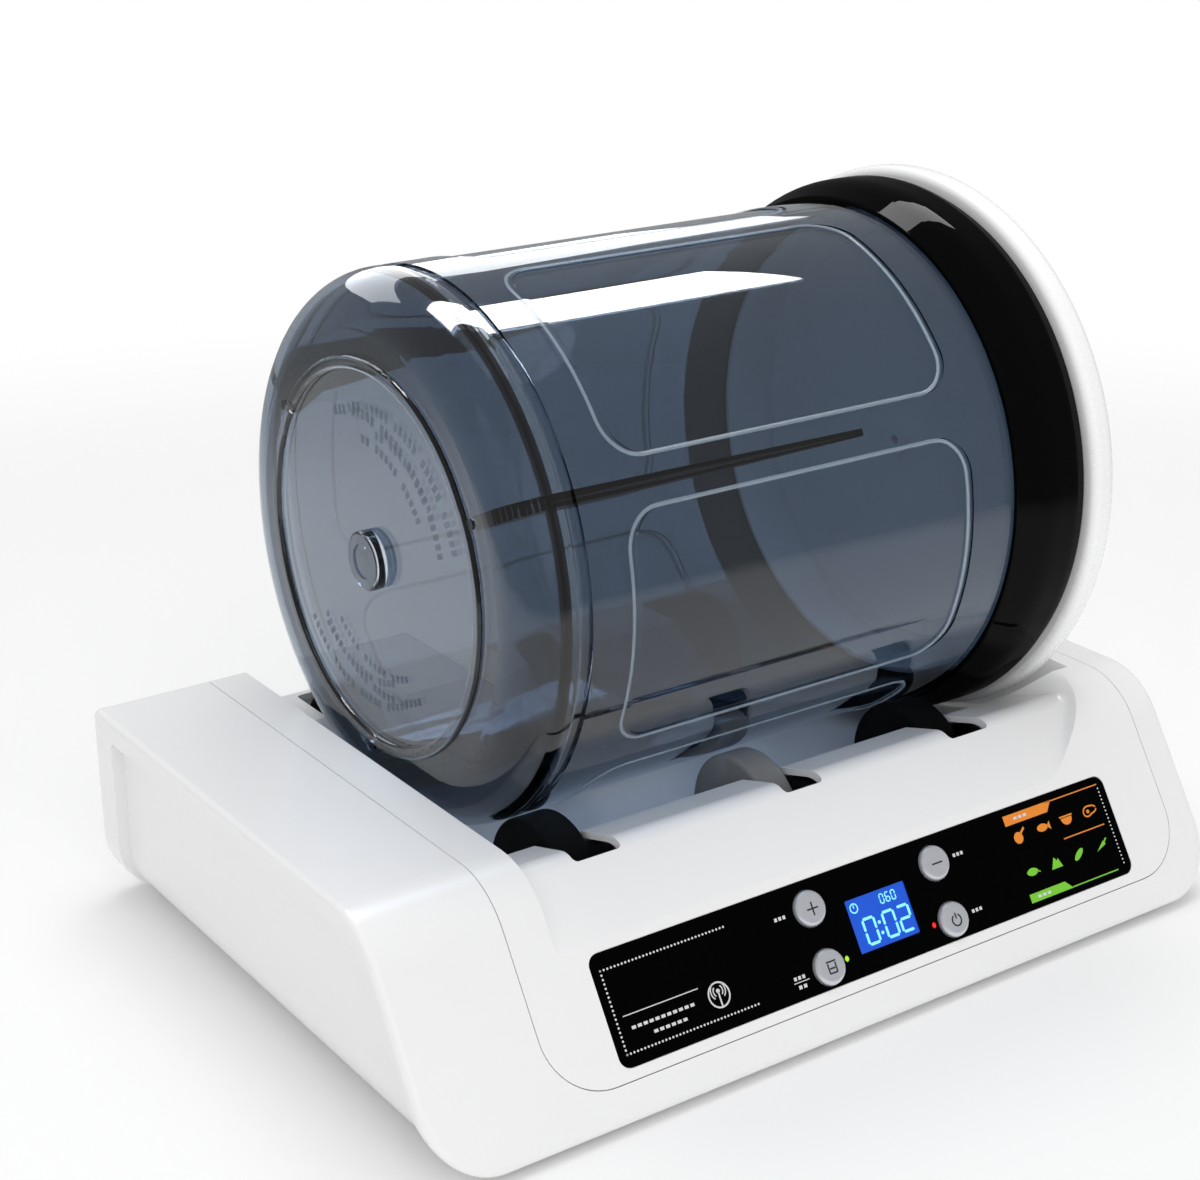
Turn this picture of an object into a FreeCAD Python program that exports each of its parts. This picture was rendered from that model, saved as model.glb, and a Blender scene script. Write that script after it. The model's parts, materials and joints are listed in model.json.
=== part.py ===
import FreeCAD, Part
import math
import os
from FreeCAD import Vector

# Meat vacuum tumbler: a see-through drum with a lid lies on two rows of rollers in a moulded base.
# Millimetres. +X runs along the drum towards its lid, +Y to the back, +Z up.
# Origin: the point on the table under the middle of the whole machine.

# ---- Base housing ----
shell_height = 79.0
foot_height = 2.5
wall = 2.6
front_angle = 57.2
bend_radius = 31.0
back_top_radius = 3.5
bottom_round = 25.0
rim_radius = 2.8
left_ledge = 49.85
right_ledge = 15.15
right_shelf = 7.8
front_room = 63.7
rear_room = 5.3
front_strip = 15.5
seam_corner = 23.0
seam_gap = 0.35
back_seam_height = 27.5
flange_width = 4.0
flange_thickness = 2.2
recess_depth = 5.0
recess_top = 9.0
recess_back = 16.0
recess_front = 5.5
plate_margin_x = 31.0
plate_margin_front = 15.0
plate_margin_back = 12.0
plate_corner = 10.0
fit_gap = 0.3
boss_radius = 3.4
boss_height = 9.0
screw_inset = 3.0
screw_shank = 1.4
screw_head = 2.8
screw_head_height = 1.6
foot_radius = 9.0
foot_inset = 18.0
foot_stem = 2.9
vent_count = 9
vent_pitch = 15.0
vent_width = 4.0
vent_length = 50.0

# ---- Drum ----
drum_radius = 105.0
drum_length = 223.0
drum_wall = 3.0
shoulder_radius = 20.0
bead_inset = 32.0
bead_width = 5.0
bead_height = 1.6
hub_radius = 11.3
hub_height = 4.4
hub_dimple = 6.5
hub_dimple_depth = 0.6
groove_offset = 0.5
groove_width = 5.0
groove_depth = 1.2
panel_count = 6
panel_length = 155.0
panel_start = 47.0
panel_width = 89.0
panel_corner = 14.0
panel_depth = 0.8
panel_phase = -4.5
fin_count = 3
fin_length = 150.0
fin_root = 20.0
fin_tip = 4.0
fin_thick = 5.0
fin_thin = 2.6
fin_start = 5.0
pin_radius = 2.0
pin_inset = 28.0
pin_grip = 6.0

# ---- Mouth ring and lid ----
ring_length = 33.3
ring_lip = 1.8
ring_bulge = 7.4
ring_end_step = 4.3
ring_grip = 4.0
ring_bevel = 6.0
ring_nose = 12.0
lid_overhang = 3.1
lid_thickness = 12.8
lid_edge = 6.0
lid_wall = 3.0
plug_depth = 14.0
plug_gap = 1.2
gasket_radius = 1.9
dish_inset = 31.5
dish_depth = 7.5
grip_width = 26.0
valve_radius = 9.0
valve_sink = 5.0
valve_bore = 2.2
valve_travel = 2.5

# ---- Cradle in the deck ----
cradle_clearance = 4.0
cradle_right_gap = 5.6
basin_left = 16.55
drum_end_gap = 3.95
basin_right = 17.0
basin_drop = 16.0
end_slope = 38.0
end_round = 6.0
crest_drop = 3.6
crest_setback = 8.3
front_fade = 30.0
shelf_run = 40.0
crest_round = 9.0
shelf_round = 15.0

# ---- Rollers ----
roller_radius = 26.0
roller_offset = 72.0
outer_roller_width = 16.0
centre_roller_width = 14.0
roller_below_deck = 31.44
left_roller_in = 28.35
right_roller_in = 17.35
centre_roller_shift = 4.85
tyre_thickness = 12.0
hub_rim = 2.4
hub_web = 3.0
hub_collar = 3.0
shaft_radius = 4.0
slot_gap = 2.2
slot_reach = 7.6
bush_wall = 2.0
block_wall = 2.2
bush_length = 8.0
running_gap = 0.05
left_bearing_in = 57.0
right_bearing_gap = 28.0
clip_thickness = 1.0
block_foot = 24.0
block_foot_height = 4.0

# ---- Gear train ----
gear_module = 1.0
gear_teeth = 48
pinion_teeth = 16
gear_width = 6.0
gear_hub = 3.0
gear_hub_wall = 4.0
pinion_hub_wall = 2.0
backlash = 0.16
gear_in = 42.0
gear_angle = -20.0
motor_radius = 24.5
motor_length = 20.0
motor_shaft = 3.0
bracket_thickness = 2.0
bracket_width = 72.0
bracket_foot = 9.0
bracket_reach = 6.0
ear_offset = 29.0
ear_width = 10.0
ear_thickness = 1.5
spindle_depth = 12.0
motor_screw = 1.6

# ---- Vacuum pump ----
pump_in = 32.0
pump_height = 27.5
pump_from_drum = 4.07
pump_head = 20.0
pump_body_length = 32.0
pump_radius = 13.5
nipple_radius = 2.5
hose_wall = 1.5
port_reach = 9.0
port_radius = 2.7
port_neck = 4.5
port_flange = 7.0
port_inner_reach = 14.0
saddle_width = 6.0

# ---- Power inlet and supply board ----
inlet_in = 66.0
inlet_height = 15.0
inlet_w = 20.0
inlet_h = 11.0
inlet_depth = 18.0
inlet_bore = 3.4
inlet_pin = 1.2
inlet_pin_offset = 4.3
inlet_flange = 7.0
inlet_screw_dx = 14.0
supply_in = 232.0
supply_from_front = 47.8
supply_w = 64.0
supply_d = 28.0
supply_post = 5.0
transformer_w = 18.0
transformer_d = 16.0
transformer_h = 14.0
capacitor_radius = 5.0
capacitor_h = 14.0
connector_w = 10.0
connector_d = 12.0
connector_h = 7.0
sink_fins = 3
sink_h = 12.0

# ---- Control panel, measured down the sloping face from the bend corner ----
panel_in = 201.35
panel_s = 54.3
panel_w = 249.0
panel_h = 40.2
panel_round = 4.5
panel_sink = 0.8
overlay_thickness = 0.7
button_radius = 6.75
button_dx = 30.4
button_ds = 11.0
keys_drop = 1.3
button_rise = 2.2
button_travel = 0.8
button_gap = 0.3
button_collar = 0.7
button_collar_height = 1.0
button_stem = 1.8
switch_size = 6.0
switch_height = 2.0
lcd_w = 30.0
lcd_h = 21.0
lcd_drop = 2.4
lcd_frame = 2.0
lcd_thickness = 3.0
led_radius = 1.1
led_inset = 8.9
led_outset = 9.2
board_depth = 9.0
board_w = 110.0
board_h = 33.0
board_thickness = 1.6
board_post = 3.2
board_post_inset = 4.0

# ---- Worked out from the sizes above ----
slope = math.radians(front_angle)
toe_loss = rim_radius / math.tan(slope / 2) - rim_radius
lid_radius = drum_radius + ring_bulge + lid_overhang
drum_from_front = front_room + roller_offset + roller_radius
base_depth = drum_from_front + roller_offset + roller_radius + rear_room
drum_from_left = left_ledge + basin_left + drum_end_gap
lid_from_left = drum_from_left + drum_length + ring_length + lid_thickness
base_length = lid_from_left + cradle_right_gap + right_shelf + right_ledge
front_y = -(toe_loss + drum_from_front + lid_radius) / 2
back_y = front_y + base_depth
half_length = base_length / 2
floor_z = foot_height
deck_z = floor_z + shell_height
bend_y = front_y + shell_height / math.tan(slope)
slope_run = shell_height / math.sin(slope)
drum_y = front_y + drum_from_front
left_x = -half_length
end_x = left_x + drum_from_left
mouth_x = end_x + drum_length
ring_end_x = mouth_x + ring_length
lid_x = ring_end_x + lid_thickness
seam_left = -half_length + left_ledge
seam_right = half_length - right_ledge
seam_low = slope_run - front_strip
roller_drop = math.sqrt((drum_radius + roller_radius) ** 2 - roller_offset ** 2)
roller_z = deck_z - roller_below_deck
drum_z = roller_z + roller_drop
front_roller_y = drum_y - roller_offset
rear_roller_y = drum_y + roller_offset
cradle_radius = lid_radius + cradle_clearance
plate_top = floor_z + wall
bead_radius = drum_radius - bead_inset
pin_circle = drum_radius - pin_inset
dish_radius = lid_radius - dish_inset
basin_level = deck_z - basin_drop
crest_level = deck_z - crest_drop
left_roller_x = end_x + left_roller_in
right_roller_x = mouth_x - right_roller_in
centre_roller_x = (left_roller_x + right_roller_x) / 2 + centre_roller_shift
left_bearing_x = left_x + left_bearing_in
right_bearing_x = right_roller_x + right_bearing_gap
seal_centre = drum_radius - drum_wall - gasket_radius - running_gap
gear_x = left_x + gear_in
gear_distance = gear_module * (gear_teeth + pinion_teeth) / 2
mesh_angle = math.radians(gear_angle)
motor_y = front_roller_y + gear_distance * math.cos(mesh_angle)
motor_z = roller_z + gear_distance * math.sin(mesh_angle)
motor_face_x = gear_x - gear_width / 2 - gear_hub - bracket_thickness
pump_x = left_x + pump_in
pump_z = floor_z + pump_height
pump_start = drum_y + pump_from_drum
pump_mid = pump_start + pump_body_length
pump_end = pump_mid + pump_head
port_inner_y = back_y - wall - port_inner_reach
inlet_x = left_x + inlet_in
inlet_z = floor_z + inlet_height
supply_x = left_x + supply_in
supply_y = front_y + supply_from_front
panel_x = left_x + panel_in
keys_s = panel_s + keys_drop
lcd_s = panel_s + lcd_drop
far = 400.0


# ---------------------------------------------------------------- helpers
def yz(a, b):
    return Vector(0, a, b)


def xz(a, b):
    return Vector(a, 0, b)


def xy(a, b):
    return Vector(a, b, 0)


def outline(points, radii, place):
    """Closed wire through 2D corners, each rounded to its own radius."""
    corners = [complex(*p) for p in points]
    runs = []
    for i, corner in enumerate(corners):
        to_last = corners[i - 1] - corner
        to_next = corners[(i + 1) % len(corners)] - corner
        to_last /= abs(to_last)
        to_next /= abs(to_next)
        half = math.acos(max(-1, min(1, (to_last.conjugate() * to_next).real))) / 2
        if radii[i] <= 0:
            runs.append((corner, None, corner))
            continue
        reach = radii[i] / math.tan(half)
        middle = (to_last + to_next) / abs(to_last + to_next)
        apex = corner + middle * (radii[i] / math.sin(half) - radii[i])
        runs.append((corner + to_last * reach, apex, corner + to_next * reach))
    edges = []
    for i, (start, apex, end) in enumerate(runs):
        if apex is not None:
            arc = [place(p.real, p.imag) for p in (start, apex, end)]
            edges.append(Part.Arc(*arc).toShape())
        following = runs[(i + 1) % len(runs)][0]
        if abs(following - end) > 1e-7:
            line = [place(p.real, p.imag) for p in (end, following)]
            edges.append(Part.LineSegment(*line).toShape())
    return Part.Wire(edges)


def inset_corners(points, distances):
    """Move each side of a counter-clockwise polygon inwards by its own distance."""
    corners = [complex(*p) for p in points]
    sides = []
    for i, corner in enumerate(corners):
        along = corners[(i + 1) % len(corners)] - corner
        along /= abs(along)
        sides.append((corner + 1j * along * distances[i], along))
    moved = []
    for i, (start, along) in enumerate(sides):
        last_start, last_along = sides[i - 1]
        cross = (last_along.conjugate() * along).imag
        gap = start - last_start
        t = (gap.conjugate() * along).imag / cross
        point = last_start + last_along * t
        moved.append((point.real, point.imag))
    return moved


def prism(points, radii, place, start, end):
    """Extrude a rounded outline from start to end, two vectors."""
    face = Part.Face(outline(points, radii, place))
    face.translate(start)
    return face.extrude(end - start)


def rectangle(x0, x1, y0, y1):
    return [(x0, y0), (x1, y0), (x1, y1), (x0, y1)]


def turned(points, radii=None):
    """Revolve an (x, radius) outline about the drum axis."""
    wire = outline(points, radii or [0] * len(points), xy)
    solid = Part.Face(wire).revolve(Vector(0, 0, 0), Vector(1, 0, 0), 360)
    solid.translate(Vector(0, drum_y, drum_z))
    return solid


def rod(x0, x1, radius, y, z):
    return Part.makeCylinder(radius, x1 - x0, Vector(x0, y, z), Vector(1, 0, 0))


def tube(x0, x1, outer, inner, y, z):
    return rod(x0, x1, outer, y, z).cut(rod(x0 - 1, x1 + 1, inner, y, z))


def box(x0, x1, y0, y1, z0, z1):
    return Part.makeBox(x1 - x0, y1 - y0, z1 - z0, Vector(x0, y0, z0))


def face_point(x, s, depth=0.0):
    """Point on the sloping front face: s runs down it, depth goes into the housing."""
    y = bend_y - s * math.cos(slope) + depth * math.sin(slope)
    z = deck_z - s * math.sin(slope) - depth * math.cos(slope)
    return Vector(x, y, z)


face_in = Vector(0, math.sin(slope), -math.cos(slope))


def face_prism(x0, x1, s0, s1, radii, depth0, depth1):
    """Rounded block set square to the sloping face."""
    wire = outline(rectangle(x0, x1, s0, s1), radii, lambda x, s: face_point(x, s, depth0))
    return Part.Face(wire).extrude(face_in * (depth1 - depth0))


def face_rod(x, s, radius, depth0, depth1):
    return Part.makeCylinder(radius, depth1 - depth0, face_point(x, s, depth0), face_in)


def save(name, shape):
    solids = shape.Solids
    shape = solids[0] if len(solids) == 1 else Part.makeCompound(solids)
    if not shape.isValid():
        print("not valid:", name)
    shape.exportStep("parts/" + name + ".step")
    print(name, len(solids), "solid(s)", round(shape.Volume / 1000, 2), "cm3")


# ---------------------------------------------------------------- base housing
def side_profile(inset, x0, x1):
    """Housing seen from its end: upright back, flat top, large bend, sloping front."""
    below = floor_z - 30
    foot_y = front_y - (floor_z - below) / math.tan(slope)
    corners = [(foot_y, below), (back_y, below), (back_y, deck_z), (bend_y, deck_z)]
    corners = inset_corners(corners, [0, inset, inset, inset])
    radii = [0, 0, max(back_top_radius - inset, 0.5), bend_radius - inset]
    return prism(corners, radii, yz, Vector(x0, 0, 0), Vector(x1, 0, 0))


def end_section(left_inset, inset, below=0.0):
    """Housing seen from its front: upright ends rolled under at the bottom."""
    corners = rectangle(-half_length, half_length, floor_z - below, deck_z + 30)
    corners = inset_corners(corners, [inset, inset, 0, left_inset])
    right_round = max(bottom_round - inset, 1.0)
    left_round = max(bottom_round - left_inset, 1.0)
    radii = [left_round, right_round, 0, 0]
    return prism(corners, radii, xz, Vector(0, -far, 0), Vector(0, far, 0))


def middle_of(edge):
    return Part.Vertex(edge.valueAt((edge.FirstParameter + edge.LastParameter) / 2))


def housing_outside():
    """Full outer form with its rim rounded all the way round."""
    sides = side_profile(0, -half_length - 10, half_length + 10)
    ends = end_section(0, 0)
    block = sides.common(ends)
    rims = [e for e in block.Edges
            if sides.Shells[0].distToShape(middle_of(e))[0] < 1e-4
            and ends.Shells[0].distToShape(middle_of(e))[0] < 1e-4]
    return block.makeFillet(rim_radius, rims)


def end_recess():
    """Shallow panel sunk in the left end wall; it rolls under with the bottom edge."""
    below = floor_z - 10
    foot_y = front_y - (floor_z - below) / math.tan(slope)
    corners = [(foot_y, below), (back_y, below), (back_y, deck_z), (bend_y, deck_z)]
    corners = inset_corners(corners, [0, recess_back, recess_top, recess_front])
    radii = [0, 0, back_top_radius, bend_radius - recess_top]
    cutter = prism(corners, radii, yz, Vector(-half_length - 1, 0, 0), Vector(-half_length + 30, 0, 0))
    return cutter.cut(end_section(recess_depth, 0))


def deck_window(inset):
    """Room taken by the deck cover: from the seam on the front face up, over and down the back."""
    x0, x1 = seam_left + inset, seam_right - inset
    corner = seam_corner - inset
    room = face_prism(x0, x1, -far, seam_low - inset, [0, 0, corner, corner], -far / 2, far)
    room = room.cut(box(-far, far, -far, far, -far, face_point(0, seam_low).z - 2 * flange_width))
    return room.cut(box(-far, far, drum_y, far, -far, floor_z + back_seam_height + inset))


def plate_opening(inset):
    x = half_length - plate_margin_x - inset
    y0 = front_y + plate_margin_front + inset
    y1 = back_y - plate_margin_back - inset
    return rectangle(-x, x, y0, y1), [plate_corner - inset] * 4


def flat_prism(inset, z0, z1):
    corners, radii = plate_opening(inset)
    return prism(corners, radii, xy, Vector(0, 0, z0), Vector(0, 0, z1))


def deck_flange():
    """Lip of the outer shell that the deck cover rests on."""
    skin = side_profile(wall, seam_left - 10, seam_right + 10)
    skin = skin.cut(side_profile(wall + flange_thickness, seam_left - 20, seam_right + 20))
    skin = skin.common(deck_window(-3.0)).cut(deck_window(flange_width))
    return skin.common(end_section(recess_depth + wall, wall))


def bottom_flange():
    """Lip round the bottom opening that the bottom plate screws to."""
    ring = flat_prism(-3.0, plate_top, plate_top + flange_thickness)
    return ring.cut(flat_prism(6.0, plate_top - 1, plate_top + flange_thickness + 1))


def screw_spots():
    """Bottom screws, evenly spread round the edge of the plate."""
    x = half_length - plate_margin_x - screw_inset
    y0 = front_y + plate_margin_front + screw_inset
    y1 = back_y - plate_margin_back - screw_inset
    return [(sx * x * k, y) for sx in (-1, 1) for k in (0.93, 0.3) for y in (y0, y1)]


def outer_shell():
    inside = side_profile(wall, -half_length, half_length).common(end_section(recess_depth + wall, wall))
    shell = housing_outside().cut(end_recess()).cut(inside)
    shell = shell.cut(deck_window(-seam_gap))
    shell = shell.cut(flat_prism(0, floor_z - 1, plate_top + 1))
    shell = shell.fuse([deck_flange(), bottom_flange()])
    for x, y in screw_spots():
        boss = Part.makeCylinder(boss_radius, boss_height, Vector(x, y, plate_top))
        hole = Part.makeCylinder(screw_shank + 0.1, boss_height + 3, Vector(x, y, plate_top - 1))
        shell = shell.fuse(boss).cut(hole)
    shell = shell.cut(port_hole()).cut(inlet_hole())
    for side in (-1, 1):
        x = inlet_x + side * inlet_screw_dx
        shell = shell.cut(y_rod(back_y - wall - 1, back_y - 1.0, screw_shank, x, inlet_z))
    return shell.removeSplitter()


# ---------------------------------------------------------------- deck cover
def basin_room(grow):
    """Low middle of the deck: crest along its front, open to the back, soft slope at its right end."""
    top = deck_z + far
    fade = face_point(0, front_fade)
    crest = complex(bend_y + crest_setback, crest_level)
    start = 2 * complex(fade.y, fade.z) - crest
    corners = [(start.real, start.imag), (crest.real, crest.imag), (crest.real + shelf_run, basin_level),
               (back_y + far, basin_level), (back_y + far, top), (start.real, top)]
    corners = inset_corners(corners, [-grow] * 3 + [0, 0, 0])
    radii = [0, crest_round + grow, shelf_round - grow, 0, 0, 0]
    along = prism(corners, radii, yz, Vector(-half_length, 0, 0), Vector(half_length, 0, 0))
    x0, x1 = seam_left + basin_left, seam_right - basin_right
    run = (deck_z - basin_level) / math.tan(math.radians(end_slope))
    low = basin_level - basin_drop
    x2 = x1 - run * (deck_z - low) / (deck_z - basin_level)
    sides = [(x0, low), (x2, low), (x1, deck_z), (half_length, deck_z + 2), (half_length, top), (x0, top)]
    sides = inset_corners(sides, [0, -grow, -grow, 0, 0, -grow])
    across = prism(sides, [0, 0, end_round - grow, 0, 0, 0], xz, Vector(0, -far, 0), Vector(0, far, 0))
    room = along.common(across)
    slope_face = [f for f in room.Faces if abs(f.normalAt(0, 0).z + math.cos(math.radians(end_slope))) < 1e-6
                  and abs(f.normalAt(0, 0).y) < 1e-6]
    lower = [e for e in slope_face[0].Edges if e.BoundBox.ZMax < deck_z - 1]
    return room.makeFillet(end_round + grow, lower)


def cradle_room(grow):
    x0 = seam_left + basin_left - grow
    x1 = lid_x + cradle_right_gap + grow
    return rod(x0, x1, cradle_radius + grow, drum_y, drum_z)


def roller_slots():
    """Openings that the rollers stand up through."""
    slots = []
    for y, reach in ((front_roller_y, slot_reach), (rear_roller_y, slot_gap)):
        for x, width in roller_list():
            half = width / 2 + slot_gap
            y0, y1 = y - roller_radius - reach, y + roller_radius + slot_gap
            corners = rectangle(x - half, x + half, y0, y1)
            slots.append(prism(corners, [2.0] * 4, xy, Vector(0, 0, plate_top), Vector(0, 0, deck_z + far)))
    return slots


def board_posts():
    dx, ds = board_w / 2 - board_post_inset, board_h / 2 - board_post_inset
    spots = [(sx * dx, ss * ds) for sx in (-1, 1) for ss in (-1, 1)]
    return [(panel_x + x, panel_s + s) for x, s in spots]


def deck_cover():
    """One moulding: border strips, sloping panel face, basin and drum cradle."""
    x0, x1 = seam_left - 5, seam_right + 5
    body = side_profile(0, x0, x1).common(deck_window(0))
    core = side_profile(wall, x0 - 5, x1 + 5)
    core = core.cut(basin_room(wall)).cut(cradle_room(wall))
    cover = body.cut(basin_room(0)).cut(cradle_room(0)).cut(core)
    for slot in roller_slots():
        cover = cover.cut(slot)
    half_w, half_h = panel_w / 2 + 0.2, panel_h / 2 + 0.2
    cover = cover.cut(face_prism(panel_x - half_w, panel_x + half_w, panel_s - half_h, panel_s + half_h,
                                 [panel_round] * 4, -5, panel_sink))
    for x, s in board_posts():
        post = face_rod(x, s, board_post, wall - 0.2, board_depth)
        cover = cover.fuse(post).cut(face_rod(x, s, 1.1, board_depth - 5, board_depth + 1))
    for x, s in button_spots().values():
        cover = cover.cut(face_rod(x, s, button_radius + button_gap, -5, wall + 3))
    for x, s in led_spots().values():
        cover = cover.cut(face_rod(x, s, led_radius + 0.1, -5, wall + 3))
    cover = cover.cut(display_block(0.0, [0.5] * 4, -5, wall + 3))
    return cover.removeSplitter()


# ---------------------------------------------------------------- bottom
def foot_spots():
    x = half_length - plate_margin_x - foot_inset
    rows = (front_y + plate_margin_front + foot_inset, back_y - plate_margin_back - foot_inset)
    return [(side * x, y) for side in (-1, 1) for y in rows]


def bottom_plate():
    plate = flat_prism(fit_gap, floor_z, plate_top)
    for x, y in screw_spots():
        plate = plate.cut(Part.makeCylinder(screw_shank + 0.4, wall + 2, Vector(x, y, floor_z - 1)))
    for x, y in foot_spots():
        plate = plate.cut(Part.makeCylinder(foot_stem + 0.1, wall + 2, Vector(x, y, floor_z - 1)))
    half_width, half_run = vent_width / 2, vent_length / 2
    for k in range(vent_count):
        x = vent_pitch * (k - (vent_count - 1) / 2)
        corners = rectangle(x - half_width, x + half_width, drum_y - half_run, drum_y + half_run)
        plate = plate.cut(prism(corners, [half_width - 0.1] * 4, xy, Vector(0, 0, floor_z - 1),
                                Vector(0, 0, plate_top + 1)))
    return plate


def rubber_feet():
    feet = []
    for x, y in foot_spots():
        pad = Part.makeCylinder(foot_radius, foot_height, Vector(x, y, 0))
        pad = pad.makeFillet(0.8, [e for e in pad.Edges if abs(e.CenterOfMass.z) < 1e-6])
        stem = Part.makeCylinder(foot_stem, wall + 1.5, Vector(x, y, foot_height))
        barb = Part.makeCone(foot_stem + 1.1, foot_stem, 2.0, Vector(x, y, plate_top))
        feet.append(pad.fuse([stem, barb]).removeSplitter())
    return Part.makeCompound(feet)


def screw(point, direction, length, shank=screw_shank, head=screw_head, head_height=screw_head_height):
    """Pan-head screw with a cross recess; the point is under its head."""
    shaft = Part.makeCylinder(shank, length, point, direction)
    cap = Part.makeCylinder(head, head_height, point - direction * head_height, direction)
    top = point - direction * (head_height + 0.1)
    side = direction.cross(Vector(1, 0, 0))
    side = side if side.Length > 0.1 else direction.cross(Vector(0, 1, 0))
    side.normalize()
    other = direction.cross(side)
    bars = []
    for along, across in ((side, other), (other, side)):
        a, b = along * (head * 0.6), across * 0.35
        wire = Part.makePolygon([top + a + b, top + a - b, top - a - b, top - a + b, top + a + b])
        bars.append(Part.Face(wire).extrude(direction * (head_height * 0.6)))
    return shaft.fuse(cap).cut(bars[0]).cut(bars[1])


def bottom_screws():
    up = Vector(0, 0, 1)
    length = wall + boss_height * 2 / 3
    return Part.makeCompound([screw(Vector(x, y, floor_z), up, length) for x, y in screw_spots()])


# ---------------------------------------------------------------- drum
def drum_body():
    """Blown drum: flat end with a bead ring and centre boss, round shoulder, groove, sunk panels."""
    x_in = end_x + bead_height
    lip_x = ring_end_x - ring_grip
    outer = [(x_in, 0), (lip_x, 0), (lip_x, drum_radius), (x_in, drum_radius)]
    solid = turned(outer, [0, 0, 0, shoulder_radius])
    inner_r = drum_radius - drum_wall
    inner = [(x_in + drum_wall, 0), (lip_x + 1, 0), (lip_x + 1, inner_r), (x_in + drum_wall, inner_r)]
    solid = solid.cut(turned(inner, [0, 0, 0, shoulder_radius - drum_wall]))
    bead = tube(end_x, x_in + 0.5, bead_radius + bead_width / 2, bead_radius - bead_width / 2, drum_y, drum_z)
    bead = bead.makeFillet(bead_height * 0.8, [e for e in bead.Edges if abs(e.CenterOfMass.x - end_x) < 1e-6])
    hub_x = x_in - hub_height
    hub = rod(hub_x, x_in + 0.5, hub_radius, drum_y, drum_z)
    hub = hub.makeFillet(1.2, [e for e in hub.Edges if e.isClosed() and abs(e.CenterOfMass.x - hub_x) < 1e-6])
    dimple = rod(hub_x - 1, hub_x + hub_dimple_depth, hub_dimple, drum_y, drum_z)
    solid = solid.fuse([bead, hub]).cut(dimple)
    groove_x = x_in + shoulder_radius + groove_offset
    solid = solid.cut(tube(groove_x, groove_x + groove_width, drum_radius + 5, drum_radius - groove_depth,
                           drum_y, drum_z))
    for k in range(panel_count):
        solid = solid.cut(barrel_panel(panel_phase + 360.0 * k / panel_count))
    for k in range(fin_count):
        solid = solid.cut(pin_solid(k))
    return solid.removeSplitter()


def barrel_panel(angle):
    """Cutter for one shallow rounded panel on the barrel; angle is up from the front."""
    x0 = end_x + panel_start
    corners = rectangle(x0, x0 + panel_length, -panel_width / 2, panel_width / 2)
    pad = prism(corners, [panel_corner] * 4, xy, Vector(0, 0, 0), Vector(0, 0, drum_radius + 5))
    pad = pad.common(tube(x0 - 1, x0 + panel_length + 1, drum_radius + 5, drum_radius - panel_depth, 0, 0))
    pad.rotate(Vector(0, 0, 0), Vector(1, 0, 0), 90 - angle)
    pad.translate(Vector(0, drum_y, drum_z))
    return pad


def fin_angle(k):
    return panel_phase + 180.0 / panel_count + 360.0 * k / fin_count


def turn_to(shape, angle):
    """Turn a shape modelled straight up from the drum axis to its angle up from the front."""
    shape.rotate(Vector(0, 0, 0), Vector(1, 0, 0), 90 - angle)
    shape.translate(Vector(0, drum_y, drum_z))
    return shape


def mixing_fins():
    """Three tapered paddles along the inside of the barrel."""
    inner_r = drum_radius - drum_wall
    wall_x = end_x + bead_height + drum_wall
    cavity = turned([(wall_x, 0), (mouth_x, 0), (mouth_x, inner_r), (wall_x, inner_r)],
                    [0, 0, 0, shoulder_radius - drum_wall])
    fins = []
    for k in range(fin_count):
        x0, x1 = end_x + fin_start, end_x + fin_start + fin_length
        side = [(x0, pin_circle - pin_radius - 3), (x0 + 18, inner_r - fin_root), (x1, inner_r - fin_tip),
                (x1, inner_r + 5), (x0, inner_r + 5)]
        plate = prism(side, [3, 8, 1, 0, 0], xz, Vector(0, -fin_thick, 0), Vector(0, fin_thick, 0))
        thick, thin = fin_thick / 2, fin_thin / 2
        taper = [(x0 - 1, -thick), (x1 + 1, -thin), (x1 + 1, thin), (x0 - 1, thick)]
        wedge = prism(taper, [0] * 4, xy, Vector(0, 0, 0), Vector(0, 0, drum_radius + 10))
        fins.append(turn_to(plate.common(wedge), fin_angle(k)).common(cavity).cut(pin_solid(k)))
    return Part.makeCompound(fins)


def pin_solid(k):
    """Rivet that holds a fin to the end wall."""
    x0 = end_x + bead_height
    shank = rod(x0 - 0.6, x0 + drum_wall + pin_grip, pin_radius, 0, pin_circle)
    return turn_to(shank, fin_angle(k))


def fin_pins():
    return Part.makeCompound([pin_solid(k) for k in range(fin_count)])


def mouth_ring():
    """Black collar shrunk over the open end of the drum."""
    r = drum_radius
    lip_x = ring_end_x - ring_grip
    top = r + ring_bulge
    profile = [(mouth_x, r), (lip_x, r), (lip_x, r - drum_wall), (ring_end_x, r - drum_wall),
               (ring_end_x, r + ring_end_step), (ring_end_x - ring_bevel, top), (mouth_x + ring_nose, top),
               (mouth_x, r + ring_lip)]
    return turned(profile, [0, 0, 0, 0.6, 1.0, 7.0, 22.0, 0.8])


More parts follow.
